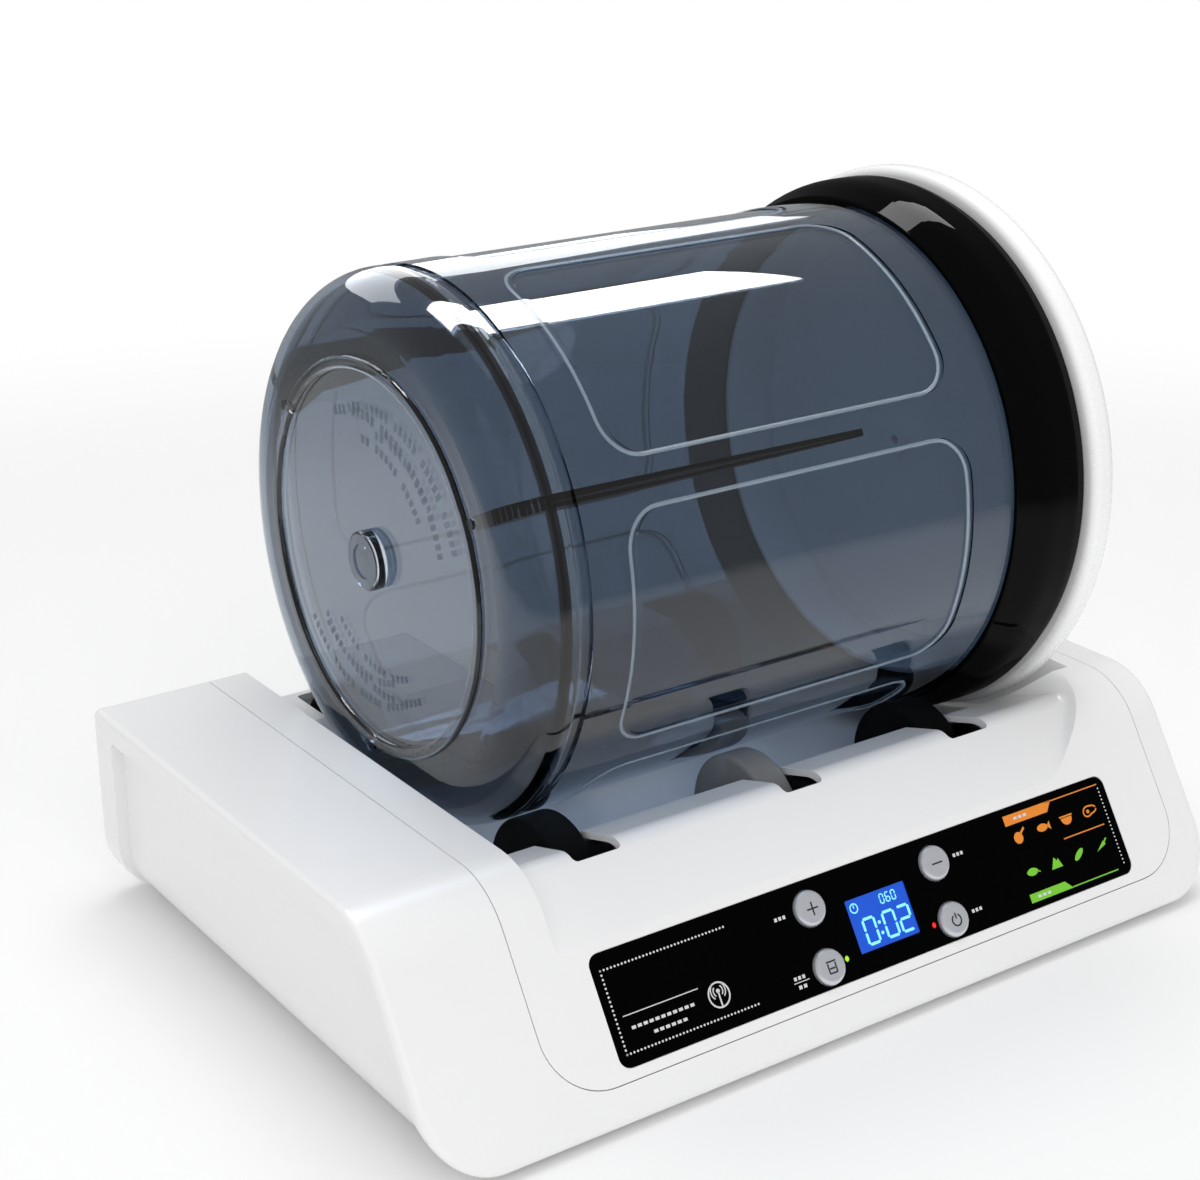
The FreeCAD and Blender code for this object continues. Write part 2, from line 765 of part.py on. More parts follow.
# ---------------------------------------------------------------- lid
def lid():
    """Dished lid with a plug that enters the mouth, a seal groove, a grip bar and a valve seat."""
    x0, x1 = ring_end_x + fit_gap, lid_x
    plug_r = drum_radius - drum_wall - plug_gap
    x_plug = x0 - plug_depth
    inside = x1 - lid_wall
    profile = [(x_plug, 0), (x_plug, plug_r), (x0, plug_r), (x0, lid_radius), (x1, lid_radius), (x1, 0)]
    solid = turned(profile, [0, 2.0, 0, lid_edge * 0.6, lid_edge, 0])
    hollow = [(x_plug - 1, 0), (inside - dish_depth, 0), (inside - dish_depth, dish_radius + 3),
              (inside, dish_radius + 6), (inside, plug_r - lid_wall), (x_plug - 1, plug_r - lid_wall)]
    solid = solid.cut(turned(hollow, [0, 0, 2, 2, 2, 0]))
    bottom_x = x1 - dish_depth
    dish = turned([(bottom_x, 0), (x1 + 1, 0), (x1 + 1, dish_radius + 4), (bottom_x, dish_radius)],
                  [0, 0, 0, 3.0])
    bar = prism(rectangle(-far / 4, far / 4, -grip_width / 2, grip_width / 2), [0] * 4, yz,
                Vector(x1 - dish_depth - 1, 0, 0), Vector(x1 + 2, 0, 0))
    bar.translate(Vector(0, drum_y, drum_z))
    solid = solid.cut(dish.cut(bar))
    solid = solid.cut(rod(x1 - valve_sink, x1 + 1, grip_width / 2 - 3, drum_y, drum_z))
    solid = solid.cut(rod(x_plug - 1, x1 + 1, valve_radius - 3, drum_y, drum_z))
    seal_x = x0 - plug_depth / 2
    groove_r = seal_centre - gasket_radius
    groove = tube(seal_x - gasket_radius, seal_x + gasket_radius, plug_r + 2, groove_r, drum_y, drum_z)
    solid = solid.cut(groove)
    return solid.removeSplitter()


def lid_gasket():
    """O-ring in the groove of the lid's plug."""
    seal_x = ring_end_x + fit_gap - plug_depth / 2
    return Part.makeTorus(seal_centre, gasket_radius, Vector(seal_x, drum_y, drum_z), Vector(1, 0, 0))


# ---------------------------------------------------------------- rollers
def roller_list():
    return [(left_roller_x, outer_roller_width), (centre_roller_x, centre_roller_width),
            (right_roller_x, outer_roller_width)]


def tyre(x, width, y):
    radius = roller_radius - fit_gap
    inner = radius - tyre_thickness
    body = tube(x - width / 2, x + width / 2, radius, inner, y, roller_z)
    rims = [e for e in body.Edges if hasattr(e.Curve, "Radius") and abs(e.Curve.Radius - radius) < 1e-6]
    return body.makeFillet(2.0, rims)


def roller_hub(x, width, y):
    """Spoked plastic wheel with a collar on the shaft."""
    rim_outer = roller_radius - fit_gap - tyre_thickness
    half = width / 2
    rim = tube(x - half, x + half, rim_outer, rim_outer - hub_rim, y, roller_z)
    collar = rod(x - half, x + half, shaft_radius + hub_collar, y, roller_z)
    web = rod(x - hub_web / 2, x + hub_web / 2, rim_outer - 1, y, roller_z)
    bore = rod(x - half - 1, x + half + 1, shaft_radius, y, roller_z)
    return rim.fuse([collar, web]).cut(bore).removeSplitter()


def hubs(y):
    return Part.makeCompound([roller_hub(x, width, y) for x, width in roller_list()])


def shaft(x0, x1, y):
    """Round steel shaft with a snap-ring groove near each end."""
    body = rod(x0, x1, shaft_radius, y, roller_z)
    body = body.makeChamfer(0.6, [e for e in body.Edges if abs(abs(e.CenterOfMass.x - (x0 + x1) / 2)
                                                              - (x1 - x0) / 2) < 1e-6 and e.isClosed()])
    for x in clip_places():
        body = body.cut(tube(x, x + clip_thickness, shaft_radius + 2, shaft_radius - 1.0, y, roller_z))
    return body


def clip_places():
    gap = bush_length / 2 + 0.8
    return [left_bearing_x + gap, right_bearing_x - gap - clip_thickness]


def clips(y):
    rings = []
    for x in clip_places():
        ring = tube(x, x + clip_thickness, shaft_radius + 2.0, shaft_radius - 1.0, y, roller_z)
        mouth = box(x - 1, x + clip_thickness + 1, y - 1.8, y + 1.8, roller_z, roller_z + 20)
        rings.append(ring.cut(mouth))
    return Part.makeCompound(rings)


def bush(x, y):
    outer = shaft_radius + running_gap + bush_wall
    body = tube(x - bush_length / 2, x + bush_length / 2, outer, shaft_radius + running_gap, y, roller_z)
    return body


def bearing_block(x, y):
    """Pillow block: foot on the bottom plate, two ribs and a round head for the bush."""
    half = bush_length / 2 - 0.8
    bore = shaft_radius + running_gap + bush_wall
    head_r = bore + block_wall
    foot_top = plate_top + block_foot_height
    foot = box(x - half, x + half, y - block_foot / 2, y + block_foot / 2, plate_top, foot_top)
    low, high = block_foot * 3 / 8, head_r * 0.9
    arm = [(y - low, plate_top), (y + low, plate_top), (y + high, roller_z), (y - high, roller_z)]
    pillar = prism(arm, [0] * 4, yz, Vector(x - half, 0, 0), Vector(x + half, 0, 0))
    head = rod(x - half, x + half, head_r, y, roller_z)
    block = foot.fuse([pillar, head]).cut(rod(x - half - 1, x + half + 1, bore, y, roller_z))
    return block.removeSplitter()


# ---------------------------------------------------------------- gear train
def gear_profile(teeth, phase, thin):
    """Closed involute outline: root arc points, flanks by the involute of the base circle."""
    pitch_r = gear_module * teeth / 2
    base_r = pitch_r * math.cos(math.radians(20))
    tip_r = pitch_r + gear_module * 0.95
    root_r = pitch_r - gear_module * 1.2
    roll = math.sqrt(max((pitch_r / base_r) ** 2 - 1, 0))
    pitch_inv = roll - math.atan(roll)
    half_tooth = math.pi / (2 * teeth) - thin / (2 * pitch_r)
    points = []
    for k in range(teeth):
        middle = phase + 2 * math.pi * k / teeth
        flank = []
        for i in range(4):
            r = max(base_r, root_r) + (tip_r - max(base_r, root_r)) * i / 3
            a = math.sqrt(max((r / base_r) ** 2 - 1, 0))
            flank.append((r, half_tooth + pitch_inv - (a - math.atan(a))))
        low = (root_r, half_tooth + pitch_inv + 0.1 / teeth)
        left = [low] + flank
        points += [(r, middle - w) for r, w in left]
        points += [(r, middle + w) for r, w in reversed(left)]
    return [(r * math.cos(a), r * math.sin(a)) for r, a in points]


def gear(teeth, phase, thin, bore, y, z, hub_thickness):
    corners = gear_profile(teeth, phase, thin)
    vectors = [Vector(0, a, b) for a, b in corners]
    wheel = Part.Face(Part.makePolygon(vectors + vectors[:1])).extrude(Vector(gear_width, 0, 0))
    wheel.translate(Vector(gear_x - gear_width / 2, y, z))
    hub = rod(gear_x - gear_width / 2, gear_x + gear_width / 2 + gear_hub, bore + hub_thickness, y, z)
    return wheel.fuse(hub).cut(rod(gear_x - far / 4, gear_x + far / 4, bore, y, z))


def drive_gear():
    wheel = gear(gear_teeth, mesh_angle, backlash, shaft_radius, front_roller_y, roller_z, gear_hub_wall)
    pitch_r = gear_module * gear_teeth / 2
    for k in range(6):
        a = mesh_angle + math.pi * k / 3
        r = pitch_r * 0.62
        wheel = wheel.cut(rod(gear_x - 10, gear_x + 10, pitch_r * 0.16, front_roller_y + r * math.cos(a),
                              roller_z + r * math.sin(a)))
    return wheel


def motor_pinion():
    phase = mesh_angle + math.pi + math.pi / pinion_teeth
    return gear(pinion_teeth, phase, backlash, motor_shaft, motor_y, motor_z, pinion_hub_wall)


def gear_motor():
    """Flat geared motor: round can with a stepped gearbox lid and an output boss."""
    can = rod(motor_face_x - motor_length, motor_face_x, motor_radius, motor_y, motor_z)
    can = can.makeFillet(1.5, [e for e in can.Edges
                               if e.isClosed() and abs(e.CenterOfMass.x - motor_face_x + motor_length) < 1e-6])
    boss = rod(motor_face_x, motor_face_x + bracket_thickness, motor_shaft * 2, motor_y, motor_z)
    reach, half = ear_offset + ear_width / 2, ear_width / 2
    ears = box(motor_face_x - ear_thickness, motor_face_x, motor_y - reach, motor_y + reach,
               motor_z - half, motor_z + half)
    motor = can.fuse([boss, ears])
    spindle_hole = motor_shaft + running_gap
    motor = motor.cut(rod(motor_face_x - spindle_depth - 2, motor_face_x + 10, spindle_hole, motor_y, motor_z))
    for side in (-1, 1):
        hole_y = motor_y + side * ear_offset
        motor = motor.cut(rod(motor_face_x - 5, motor_face_x + 5, motor_screw, hole_y, motor_z))
    return motor.removeSplitter()


def motor_spindle():
    x0 = motor_face_x - spindle_depth
    return rod(x0, gear_x + gear_width / 2 + gear_hub, motor_shaft, motor_y, motor_z)


def motor_bracket():
    """Bent steel plate: upright with the motor hole, foot on the bottom plate."""
    x0, x1 = motor_face_x, motor_face_x + bracket_thickness
    base_z = plate_top + flange_thickness
    half = bracket_width / 2
    corners = rectangle(motor_y - half, motor_y + half, base_z, motor_z + bracket_width / 6)
    plate = prism(corners, [0, 0, bracket_foot - 1, bracket_foot - 1], yz, Vector(x0, 0, 0), Vector(x1, 0, 0))
    for side in (-1, 1):
        y = motor_y + side * (half - bracket_foot / 2)
        toe = box(x0 - bracket_reach, x1, y - bracket_foot / 2, y + bracket_foot / 2, base_z,
                  base_z + bracket_thickness)
        plate = plate.fuse(toe)
    plate = plate.cut(rod(x0 - 1, x1 + 1, motor_shaft * 2, motor_y, motor_z))
    for side in (-1, 1):
        plate = plate.cut(rod(x0 - 1, x1 + 1, motor_screw, motor_y + side * ear_offset, motor_z))
    return plate.removeSplitter()


def motor_screws():
    x1 = motor_face_x + bracket_thickness
    return Part.makeCompound([screw(Vector(x1, motor_y + side * ear_offset, motor_z), Vector(-1, 0, 0),
                                    bracket_thickness + ear_thickness + 2.5, motor_screw) for side in (-1, 1)])


# ---------------------------------------------------------------- vacuum system
def y_rod(y0, y1, radius, x, z):
    return Part.makeCylinder(radius, y1 - y0, Vector(x, y0, z), Vector(0, 1, 0))


def pump_motor():
    can = y_rod(pump_start, pump_mid, pump_radius, pump_x, pump_z)
    can = can.makeFillet(1.5, [e for e in can.Edges
                               if e.isClosed() and abs(e.CenterOfMass.y - pump_start) < 1e-6])
    return can.fuse(y_rod(pump_start - 2, pump_start, 4.0, pump_x, pump_z)).removeSplitter()


def pump_head_block():
    """Diaphragm head with its suction nipple."""
    r = pump_radius + 0.5
    corners = rectangle(pump_x - r, pump_x + r, pump_z - r, pump_z + r)
    block = prism(corners, [4] * 4, xz, Vector(0, pump_mid, 0), Vector(0, pump_end, 0))
    nipple = y_rod(pump_end - 1, pump_end + 9, nipple_radius, pump_x, pump_z)
    return block.fuse(nipple).cut(y_rod(pump_end - 8, pump_end + 10, nipple_radius - 1, pump_x, pump_z))


def pump_cradle():
    """Two rubber-lined saddles that carry the pump on the bottom plate."""
    saddles = []
    half = pump_radius + 1.0
    for y in (pump_start + saddle_width, pump_mid - 2 * saddle_width):
        block = box(pump_x - half, pump_x + half, y, y + saddle_width, plate_top + flange_thickness, pump_z)
        saddles.append(block.cut(y_rod(y - 1, y + saddle_width + 1, pump_radius, pump_x, pump_z)))
    return Part.makeCompound(saddles)


def vacuum_hose():
    inner = nipple_radius
    outer = nipple_radius + hose_wall
    hose = y_rod(pump_end, port_inner_y + 8, outer, pump_x, pump_z)
    return hose.cut(y_rod(pump_end - 1, port_inner_y + 9, inner, pump_x, pump_z))


def vacuum_port():
    """Plain hose nipple through the back wall, with a flange inside and a collar outside."""
    inside = y_rod(port_inner_y, back_y - wall, nipple_radius, pump_x, pump_z)
    flange = y_rod(back_y - wall - 2, back_y - wall, port_flange, pump_x, pump_z)
    neck = y_rod(back_y - wall, back_y + 2.0, port_neck, pump_x, pump_z)
    collar = y_rod(back_y, back_y + 1.6, port_flange - 0.5, pump_x, pump_z)
    tip_y = back_y + port_reach
    outside = y_rod(back_y, tip_y, port_radius, pump_x, pump_z)
    outside = outside.makeChamfer(0.4, [e for e in outside.Edges
                                        if e.isClosed() and abs(e.CenterOfMass.y - tip_y) < 1e-6])
    port = inside.fuse([flange, neck, collar, outside])
    return port.cut(y_rod(port_inner_y - 1, tip_y + 1, nipple_radius - 1, pump_x, pump_z)).removeSplitter()


def port_hole():
    return y_rod(back_y - 20, back_y + 20, port_neck, pump_x, pump_z)


# ---------------------------------------------------------------- power

def inlet_block(grow_x, grow_z, corner, y0, y1):
    """Rounded block round the middle of the inlet, from y0 to y1."""
    half_w, half_h = inlet_w / 2 + grow_x, inlet_h / 2 + grow_z
    corners = rectangle(inlet_x - half_w, inlet_x + half_w, inlet_z - half_h, inlet_z + half_h)
    return prism(corners, [corner] * 4, xz, Vector(0, y0, 0), Vector(0, y1, 0))


def inlet_hole():
    return inlet_block(0, 0, inlet_h / 2 - 0.5, back_y - 20, back_y + 20)


def power_inlet():
    """Two-pin figure-eight inlet: socket body, inside flange and two pins."""
    inner_y, flange_y = back_y - inlet_depth, back_y - wall - 2.5
    body = inlet_block(0, 0, inlet_h / 2 - 0.5, inner_y, back_y)
    body = body.fuse(inlet_block(inlet_flange, 2.0, 3.0, flange_y, back_y - wall))
    for side in (-1, 1):
        x, screw_x = inlet_x + side * inlet_pin_offset, inlet_x + side * inlet_screw_dx
        body = body.cut(y_rod(inner_y + 3, back_y + 1, inlet_bore, x, inlet_z))
        body = body.fuse(y_rod(inner_y, back_y - 3, inlet_pin, x, inlet_z))
        body = body.cut(y_rod(flange_y - 1, back_y - wall + 1, screw_shank, screw_x, inlet_z))
    return body.removeSplitter()


def inlet_screws():
    return Part.makeCompound([screw(Vector(inlet_x + side * inlet_screw_dx, back_y - wall - 2.5, inlet_z),
                                    Vector(0, 1, 0), 4.0, screw_shank, 2.4) for side in (-1, 1)])


def standing(x, y, width, depth, z, height):
    """Block that stands on z with its middle over x, y."""
    return box(x - width / 2, x + width / 2, y - depth / 2, y + depth / 2, z, z + height)


def power_board():
    """Supply board on four posts: board, transformer, capacitor, connector, heat sink."""
    z = plate_top + supply_post
    top = z + board_thickness
    x0, x1 = supply_x - supply_w / 2, supply_x + supply_w / 2
    y0, y1 = supply_y - supply_d / 2, supply_y + supply_d / 2
    inset = supply_post - 1
    pieces = [Part.makeCylinder(supply_post / 2, supply_post, Vector(x, y, plate_top))
              for x in (x0 + inset, x1 - inset) for y in (y0 + inset, y1 - inset)]
    pieces.append(standing(supply_x, supply_y, transformer_w, transformer_d, top, transformer_h))
    capacitor_x = (supply_x + transformer_w / 2 + x1 - inset) / 2 - 2.5
    pieces.append(Part.makeCylinder(capacitor_radius, capacitor_h, Vector(capacitor_x, supply_y, top)))
    pieces.append(standing(x0 + inset + connector_w / 2, supply_y, connector_w, connector_d, top, connector_h))
    for k in range(sink_fins):
        pieces.append(standing(x1 - inset / 2 - 2 * k, supply_y, 1.0, supply_d * 0.65, top, sink_h))
    return box(x0, x1, y0, y1, z, top).fuse(pieces).removeSplitter()


# ---------------------------------------------------------------- control panel
def button_spots():
    left, right = panel_x - button_dx, panel_x + button_dx
    upper, lower = keys_s - button_ds, keys_s + button_ds
    return {"plus_button": (left, upper), "minus_button": (right, upper),
            "mode_button": (left, lower), "power_button": (right, lower)}


def led_spots():
    row = keys_s + button_ds - 0.4
    return {"power_led": (panel_x + button_dx - led_inset, row),
            "mode_led": (panel_x - button_dx + led_outset, row)}


def display_block(grow, radii, depth0, depth1):
    """Block round the middle of the display window, from depth0 to depth1 in the face."""
    half_w, half_h = lcd_w / 2 + grow, lcd_h / 2 + grow
    return face_prism(panel_x - half_w, panel_x + half_w, lcd_s - half_h, lcd_s + half_h, radii, depth0, depth1)


def panel_overlay():
    half_w, half_h = panel_w / 2, panel_h / 2
    sheet = face_prism(panel_x - half_w, panel_x + half_w, panel_s - half_h, panel_s + half_h,
                       [panel_round] * 4, panel_sink - overlay_thickness, panel_sink)
    for x, s in button_spots().values():
        sheet = sheet.cut(face_rod(x, s, button_radius + button_gap, -5, 5))
    for x, s in led_spots().values():
        sheet = sheet.cut(face_rod(x, s, led_radius + 0.05, -5, 5))
    return sheet.cut(display_block(-0.5, [0.5] * 4, -5, 5))


def button(x, s):
    """Domed key: round cap, stem down to its switch and a collar that stops it lifting out."""
    collar_depth = wall + button_gap - 0.1
    collar_end = collar_depth + button_collar_height
    cap = face_rod(x, s, button_radius, -button_rise, collar_end)
    rim = [e for e in cap.Edges if e.isClosed() and
           (Vector(e.CenterOfMass) - face_point(x, s, -button_rise)).Length < 1e-4]
    cap = cap.makeFillet(1.9, rim)
    collar = face_rod(x, s, button_radius + button_collar, collar_depth, collar_end)
    stem_end = board_depth - switch_height - button_travel - 0.4
    stem = face_rod(x, s, button_stem, collar_end - 0.2, stem_end)
    return cap.fuse([collar, stem]).removeSplitter()


def tact_switches():
    bodies = []
    for x, s in button_spots().values():
        half = switch_size / 2
        bodies.append(face_prism(x - half, x + half, s - half, s + half, [0.5] * 4,
                                 board_depth - switch_height, board_depth))
    return Part.makeCompound(bodies)


def lcd_module():
    glass = display_block(-0.2, [0.3] * 4, panel_sink, wall + 0.5)
    frame = display_block(lcd_frame, [1.0] * 4, wall + 0.1, wall + lcd_thickness)
    return glass.fuse(frame).removeSplitter()


def lcd_backlight():
    return display_block(0.0, [1.0] * 4, wall + lcd_thickness, board_depth)


def led(x, s):
    dome = face_rod(x, s, led_radius, 0.2, board_depth)
    return dome.makeFillet(0.8, [e for e in dome.Edges if e.isClosed() and
                                 (Vector(e.CenterOfMass) - face_point(x, s, 0.2)).Length < 1e-4])


def control_board():
    half_w, half_h = board_w / 2, board_h / 2
    board = face_prism(panel_x - half_w, panel_x + half_w, panel_s - half_h, panel_s + half_h, [2.0] * 4,
                       board_depth, board_depth + board_thickness)
    chip = face_prism(panel_x - 40, panel_x - 28, panel_s - 6, panel_s + 6, [0.5] * 4,
                      board_depth + board_thickness, board_depth + board_thickness + 1.8)
    plug = face_prism(panel_x + 10, panel_x + 26, panel_s - 3, panel_s + 3, [0.5] * 4,
                      board_depth + board_thickness, board_depth + board_thickness + 5)
    board = board.fuse([chip, plug])
    for x, s in board_posts():
        board = board.cut(face_rod(x, s, 1.5, board_depth - 1, board_depth + 5))
    return board.removeSplitter()


def board_screws():
    back = board_depth + board_thickness
    return Part.makeCompound([screw(face_point(x, s, back), face_in * -1, 5.0, 1.1, 2.4)
                              for x, s in board_posts()])


# ---------------------------------------------------------------- lid valve
def valve_body():
    """Seat in the middle of the lid with an air bore."""
    seat_x = lid_x - valve_sink
    neck = rod(seat_x - valve_radius, seat_x, valve_radius - 3, drum_y, drum_z)
    flange = rod(seat_x, seat_x + 1.5, valve_radius, drum_y, drum_z)
    cup = rod(seat_x + 1.5, seat_x + 3.5, valve_radius - 1, drum_y, drum_z)
    body = neck.fuse([flange, cup])
    body = body.cut(rod(lid_x - 30, lid_x + 5, valve_bore, drum_y, drum_z))
    return body.cut(rod(seat_x - 6.0, lid_x + 5, valve_bore + 2.4, drum_y, drum_z)).removeSplitter()


def valve_knob():
    seat_x, cap_x = lid_x - valve_sink, lid_x + valve_travel
    stem = rod(seat_x - 1.0, lid_x - 0.5, valve_bore - 0.4, drum_y, drum_z)
    guide = rod(seat_x + 2.0, seat_x + 4.0, valve_bore + 2.0, drum_y, drum_z)
    cap = rod(seat_x + 4.0, cap_x, valve_radius - 3.4, drum_y, drum_z)
    cap = cap.makeFillet(1.0, [e for e in cap.Edges if e.isClosed() and abs(e.CenterOfMass.x - cap_x) < 1e-6])
    return stem.fuse([guide, cap]).removeSplitter()


# ---------------------------------------------------------------- write the parts
os.makedirs("parts", exist_ok=True)
save("outer_shell", outer_shell())
save("deck_cover", deck_cover())
save("bottom_plate", bottom_plate())
save("rubber_feet", rubber_feet())
save("bottom_screws", bottom_screws())
save("drum_body", drum_body())
save("mixing_fins", mixing_fins())
save("fin_pins", fin_pins())
save("mouth_ring", mouth_ring())
save("lid", lid())
save("lid_gasket", lid_gasket())
save("valve_body", valve_body())
save("valve_knob", valve_knob())
for row, row_y in (("front", front_roller_y), ("rear", rear_roller_y)):
    for side, (tyre_x, tyre_width) in zip(("left", "centre", "right"), roller_list()):
        save(row + "_" + side + "_tyre", tyre(tyre_x, tyre_width, row_y))
    save(row + "_roller_hubs", hubs(row_y))
    save(row + "_shaft_clips", clips(row_y))
    for side, bearing_x in (("left", left_bearing_x), ("right", right_bearing_x)):
        save(row + "_" + side + "_bearing_block", bearing_block(bearing_x, row_y))
save("drive_shaft", shaft(gear_x - gear_width / 2 - 1, right_bearing_x + bush_length / 2 + 3, front_roller_y))
save("idler_shaft", shaft(left_bearing_x - bush_length / 2 - 3, right_bearing_x + bush_length / 2 + 3,
                          rear_roller_y))
save("shaft_bushes", Part.makeCompound([bush(x, y) for x in (left_bearing_x, right_bearing_x)
                                        for y in (front_roller_y, rear_roller_y)]))
save("drive_gear", drive_gear())
save("motor_pinion", motor_pinion())
save("motor_spindle", motor_spindle())
save("gear_motor", gear_motor())
save("motor_bracket", motor_bracket())
save("motor_screws", motor_screws())
save("pump_motor", pump_motor())
save("pump_head", pump_head_block())
save("pump_cradle", pump_cradle())
save("vacuum_hose", vacuum_hose())
save("vacuum_port", vacuum_port())
save("power_inlet", power_inlet())
save("inlet_screws", inlet_screws())
save("power_board", power_board())
save("panel_overlay", panel_overlay())
for button_name, (button_x, button_s) in button_spots().items():
    save(button_name, button(button_x, button_s))
save("tact_switches", tact_switches())
save("lcd_module", lcd_module())
save("lcd_backlight", lcd_backlight())
for led_name, (led_x, led_s) in led_spots().items():
    save(led_name, led(led_x, led_s))
save("control_board", control_board())
save("board_screws", board_screws())
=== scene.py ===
import json
import math

import bpy
import numpy as np
from mathutils import Matrix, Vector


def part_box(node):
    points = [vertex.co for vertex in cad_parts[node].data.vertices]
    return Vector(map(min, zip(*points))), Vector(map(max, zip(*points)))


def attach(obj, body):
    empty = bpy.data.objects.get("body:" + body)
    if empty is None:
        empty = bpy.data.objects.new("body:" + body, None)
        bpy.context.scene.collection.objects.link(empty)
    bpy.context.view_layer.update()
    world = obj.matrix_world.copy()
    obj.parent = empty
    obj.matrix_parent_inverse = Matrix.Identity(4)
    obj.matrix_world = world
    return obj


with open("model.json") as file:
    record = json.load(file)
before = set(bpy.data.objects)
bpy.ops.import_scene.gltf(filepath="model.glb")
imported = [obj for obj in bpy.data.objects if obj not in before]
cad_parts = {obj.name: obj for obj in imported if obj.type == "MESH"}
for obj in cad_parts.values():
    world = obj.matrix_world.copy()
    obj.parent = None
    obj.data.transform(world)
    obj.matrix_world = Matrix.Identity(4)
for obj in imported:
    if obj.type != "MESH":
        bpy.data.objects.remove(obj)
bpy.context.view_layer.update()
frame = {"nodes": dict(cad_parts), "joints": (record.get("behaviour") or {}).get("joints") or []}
nodes = frame["nodes"]
scene = bpy.context.scene
mm = 0.001
print("frame loaded:", len(nodes), "nodes")


# Shader maths: a Wire is a socket or a number, and an expression on it adds Math nodes.
class Wire:
    def __init__(self, graph, value):
        self.graph = graph
        self.value = value

    def math(self, operation, *others):
        inputs = {i: w for i, w in enumerate((self,) + others)}
        return self.graph.out(self.graph.add("ShaderNodeMath", {"operation": operation}, inputs))

    def __add__(self, other):
        return self.math("ADD", other)

    __radd__ = __add__

    def __mul__(self, other):
        return self.math("MULTIPLY", other)

    __rmul__ = __mul__

    def __sub__(self, other):
        return self.math("SUBTRACT", other)

    def __rsub__(self, other):
        return Wire(self.graph, other).math("SUBTRACT", self)

    def band(self, start, end, soft):   # 1 from start to end, with soft edges
        return self.ramp(start - soft, start) * (1.0 - self.ramp(end, end + soft))

    def ramp(self, low, high):   # 0 below low, 1 above high, smooth between
        node = self.graph.add("ShaderNodeMapRange", {"interpolation_type": "SMOOTHSTEP"},
                              {0: self, 1: low, 2: high})
        return self.graph.out(node)


class Graph:
    def __init__(self, name, world=False):
        self.material = bpy.data.worlds.new(name) if world else bpy.data.materials.new(name)
        self.material.use_nodes = True
        self.tree = self.material.node_tree
        self.tree.nodes.clear()
        self.output = self.add("ShaderNodeOutputWorld" if world else "ShaderNodeOutputMaterial", {}, {})
        self.coords = None
        if not world:
            self.shader = self.add("ShaderNodeBsdfPrincipled", {}, {})
            self.feed(self.output.inputs["Surface"], self.shader.outputs[0])

    # the one way a node is made: its type, its settings, then its sockets
    def add(self, kind, settings, sockets):
        node = self.tree.nodes.new(kind)
        for key, value in settings.items():
            setattr(node, key, value)
        for key, value in sockets.items():
            self.feed(node.inputs[key], value)
        return node

    def feed(self, socket, value):
        if isinstance(value, Wire):
            value = value.value
        if isinstance(value, bpy.types.NodeSocket):
            self.tree.links.new(value, socket)
        elif isinstance(value, (tuple, list)) and len(value) == 3 and len(socket.default_value) == 4:
            socket.default_value = (*value, 1.0)
        else:
            socket.default_value = value

    def out(self, node, name=0):
        return Wire(self, node.outputs[name])

    def place(self):   # Object coordinates, in metres
        if self.coords is None:
            self.coords = self.add("ShaderNodeTexCoord", {}, {})
        return self.coords.outputs["Object"]

    def axis(self, letter):
        node = self.add("ShaderNodeSeparateXYZ", {}, {0: self.place()})
        return self.out(node, letter)

    def noise(self, scale, detail=3.0, roughness=0.55, stretch=None):
        vector = self.place()
        if stretch:
            vector = self.add("ShaderNodeMapping", {}, {"Vector": vector, "Scale": stretch}).outputs[0]
        node = self.add("ShaderNodeTexNoise", {}, {"Vector": vector, "Scale": scale,
                                                   "Detail": detail, "Roughness": roughness})
        return self.out(node, "Fac")

    def blend(self, factor, first, second):
        node = self.add("ShaderNodeMix", {"data_type": "RGBA"}, {"Factor": factor, 6: first, 7: second})
        return node.outputs[2]

    def bump(self, height, distance):
        node = self.add("ShaderNodeBump", {}, {"Height": height, "Distance": distance})
        self.feed(self.shader.inputs["Normal"], node.outputs[0])

    def set(self, **sockets):
        names = {"colour": "Base Color", "roughness": "Roughness", "metallic": "Metallic",
                 "coat": "Coat Weight", "coatRoughness": "Coat Roughness", "specular": "Specular IOR Level",
                 "ior": "IOR", "transmission": "Transmission Weight", "glow": "Emission Color",
                 "glowStrength": "Emission Strength", "alpha": "Alpha",
                 "subsurface": "Subsurface Weight", "subsurfaceScale": "Subsurface Scale"}
        for key, value in sockets.items():
            self.feed(self.shader.inputs[names[key]], value)
        return self


# glossy moulded ABS: colour drifts a little with slow noise, and the gloss with finer noise
def mouldedPlastic(name, colour, shade, gloss, grain=0.00001):
    g = Graph(name)
    slow = g.noise(9.0, 2.0)
    fine = g.noise(900.0, 2.0)
    g.set(colour=g.blend(slow, colour, shade), roughness=fine * 0.06 + gloss)
    g.bump(fine, grain)
    return g.material


# matt rubber: fine moulded grain and dust in slow patches
def rubber(name, colour, dusty):
    g = Graph(name)
    grain = g.noise(1600.0, 4.0, 0.7)
    dust = g.noise(60.0, 3.0).ramp(0.45, 0.75)
    g.set(colour=g.blend(dust, colour, dusty), roughness=grain * 0.2 + 0.55, specular=0.12)
    g.bump(grain, 0.00006)
    return g.material


# turned or rolled metal: bright, with fine streaks across the roughness
def metal(name, colour, shade, gloss):
    g = Graph(name)
    streak = g.noise(500.0, 3.0, 0.6, (0.15, 1.0, 1.0))
    g.set(colour=g.blend(streak, colour, shade), metallic=1.0, roughness=streak * 0.18 + gloss)
    g.bump(streak, 0.00001)
    return g.material


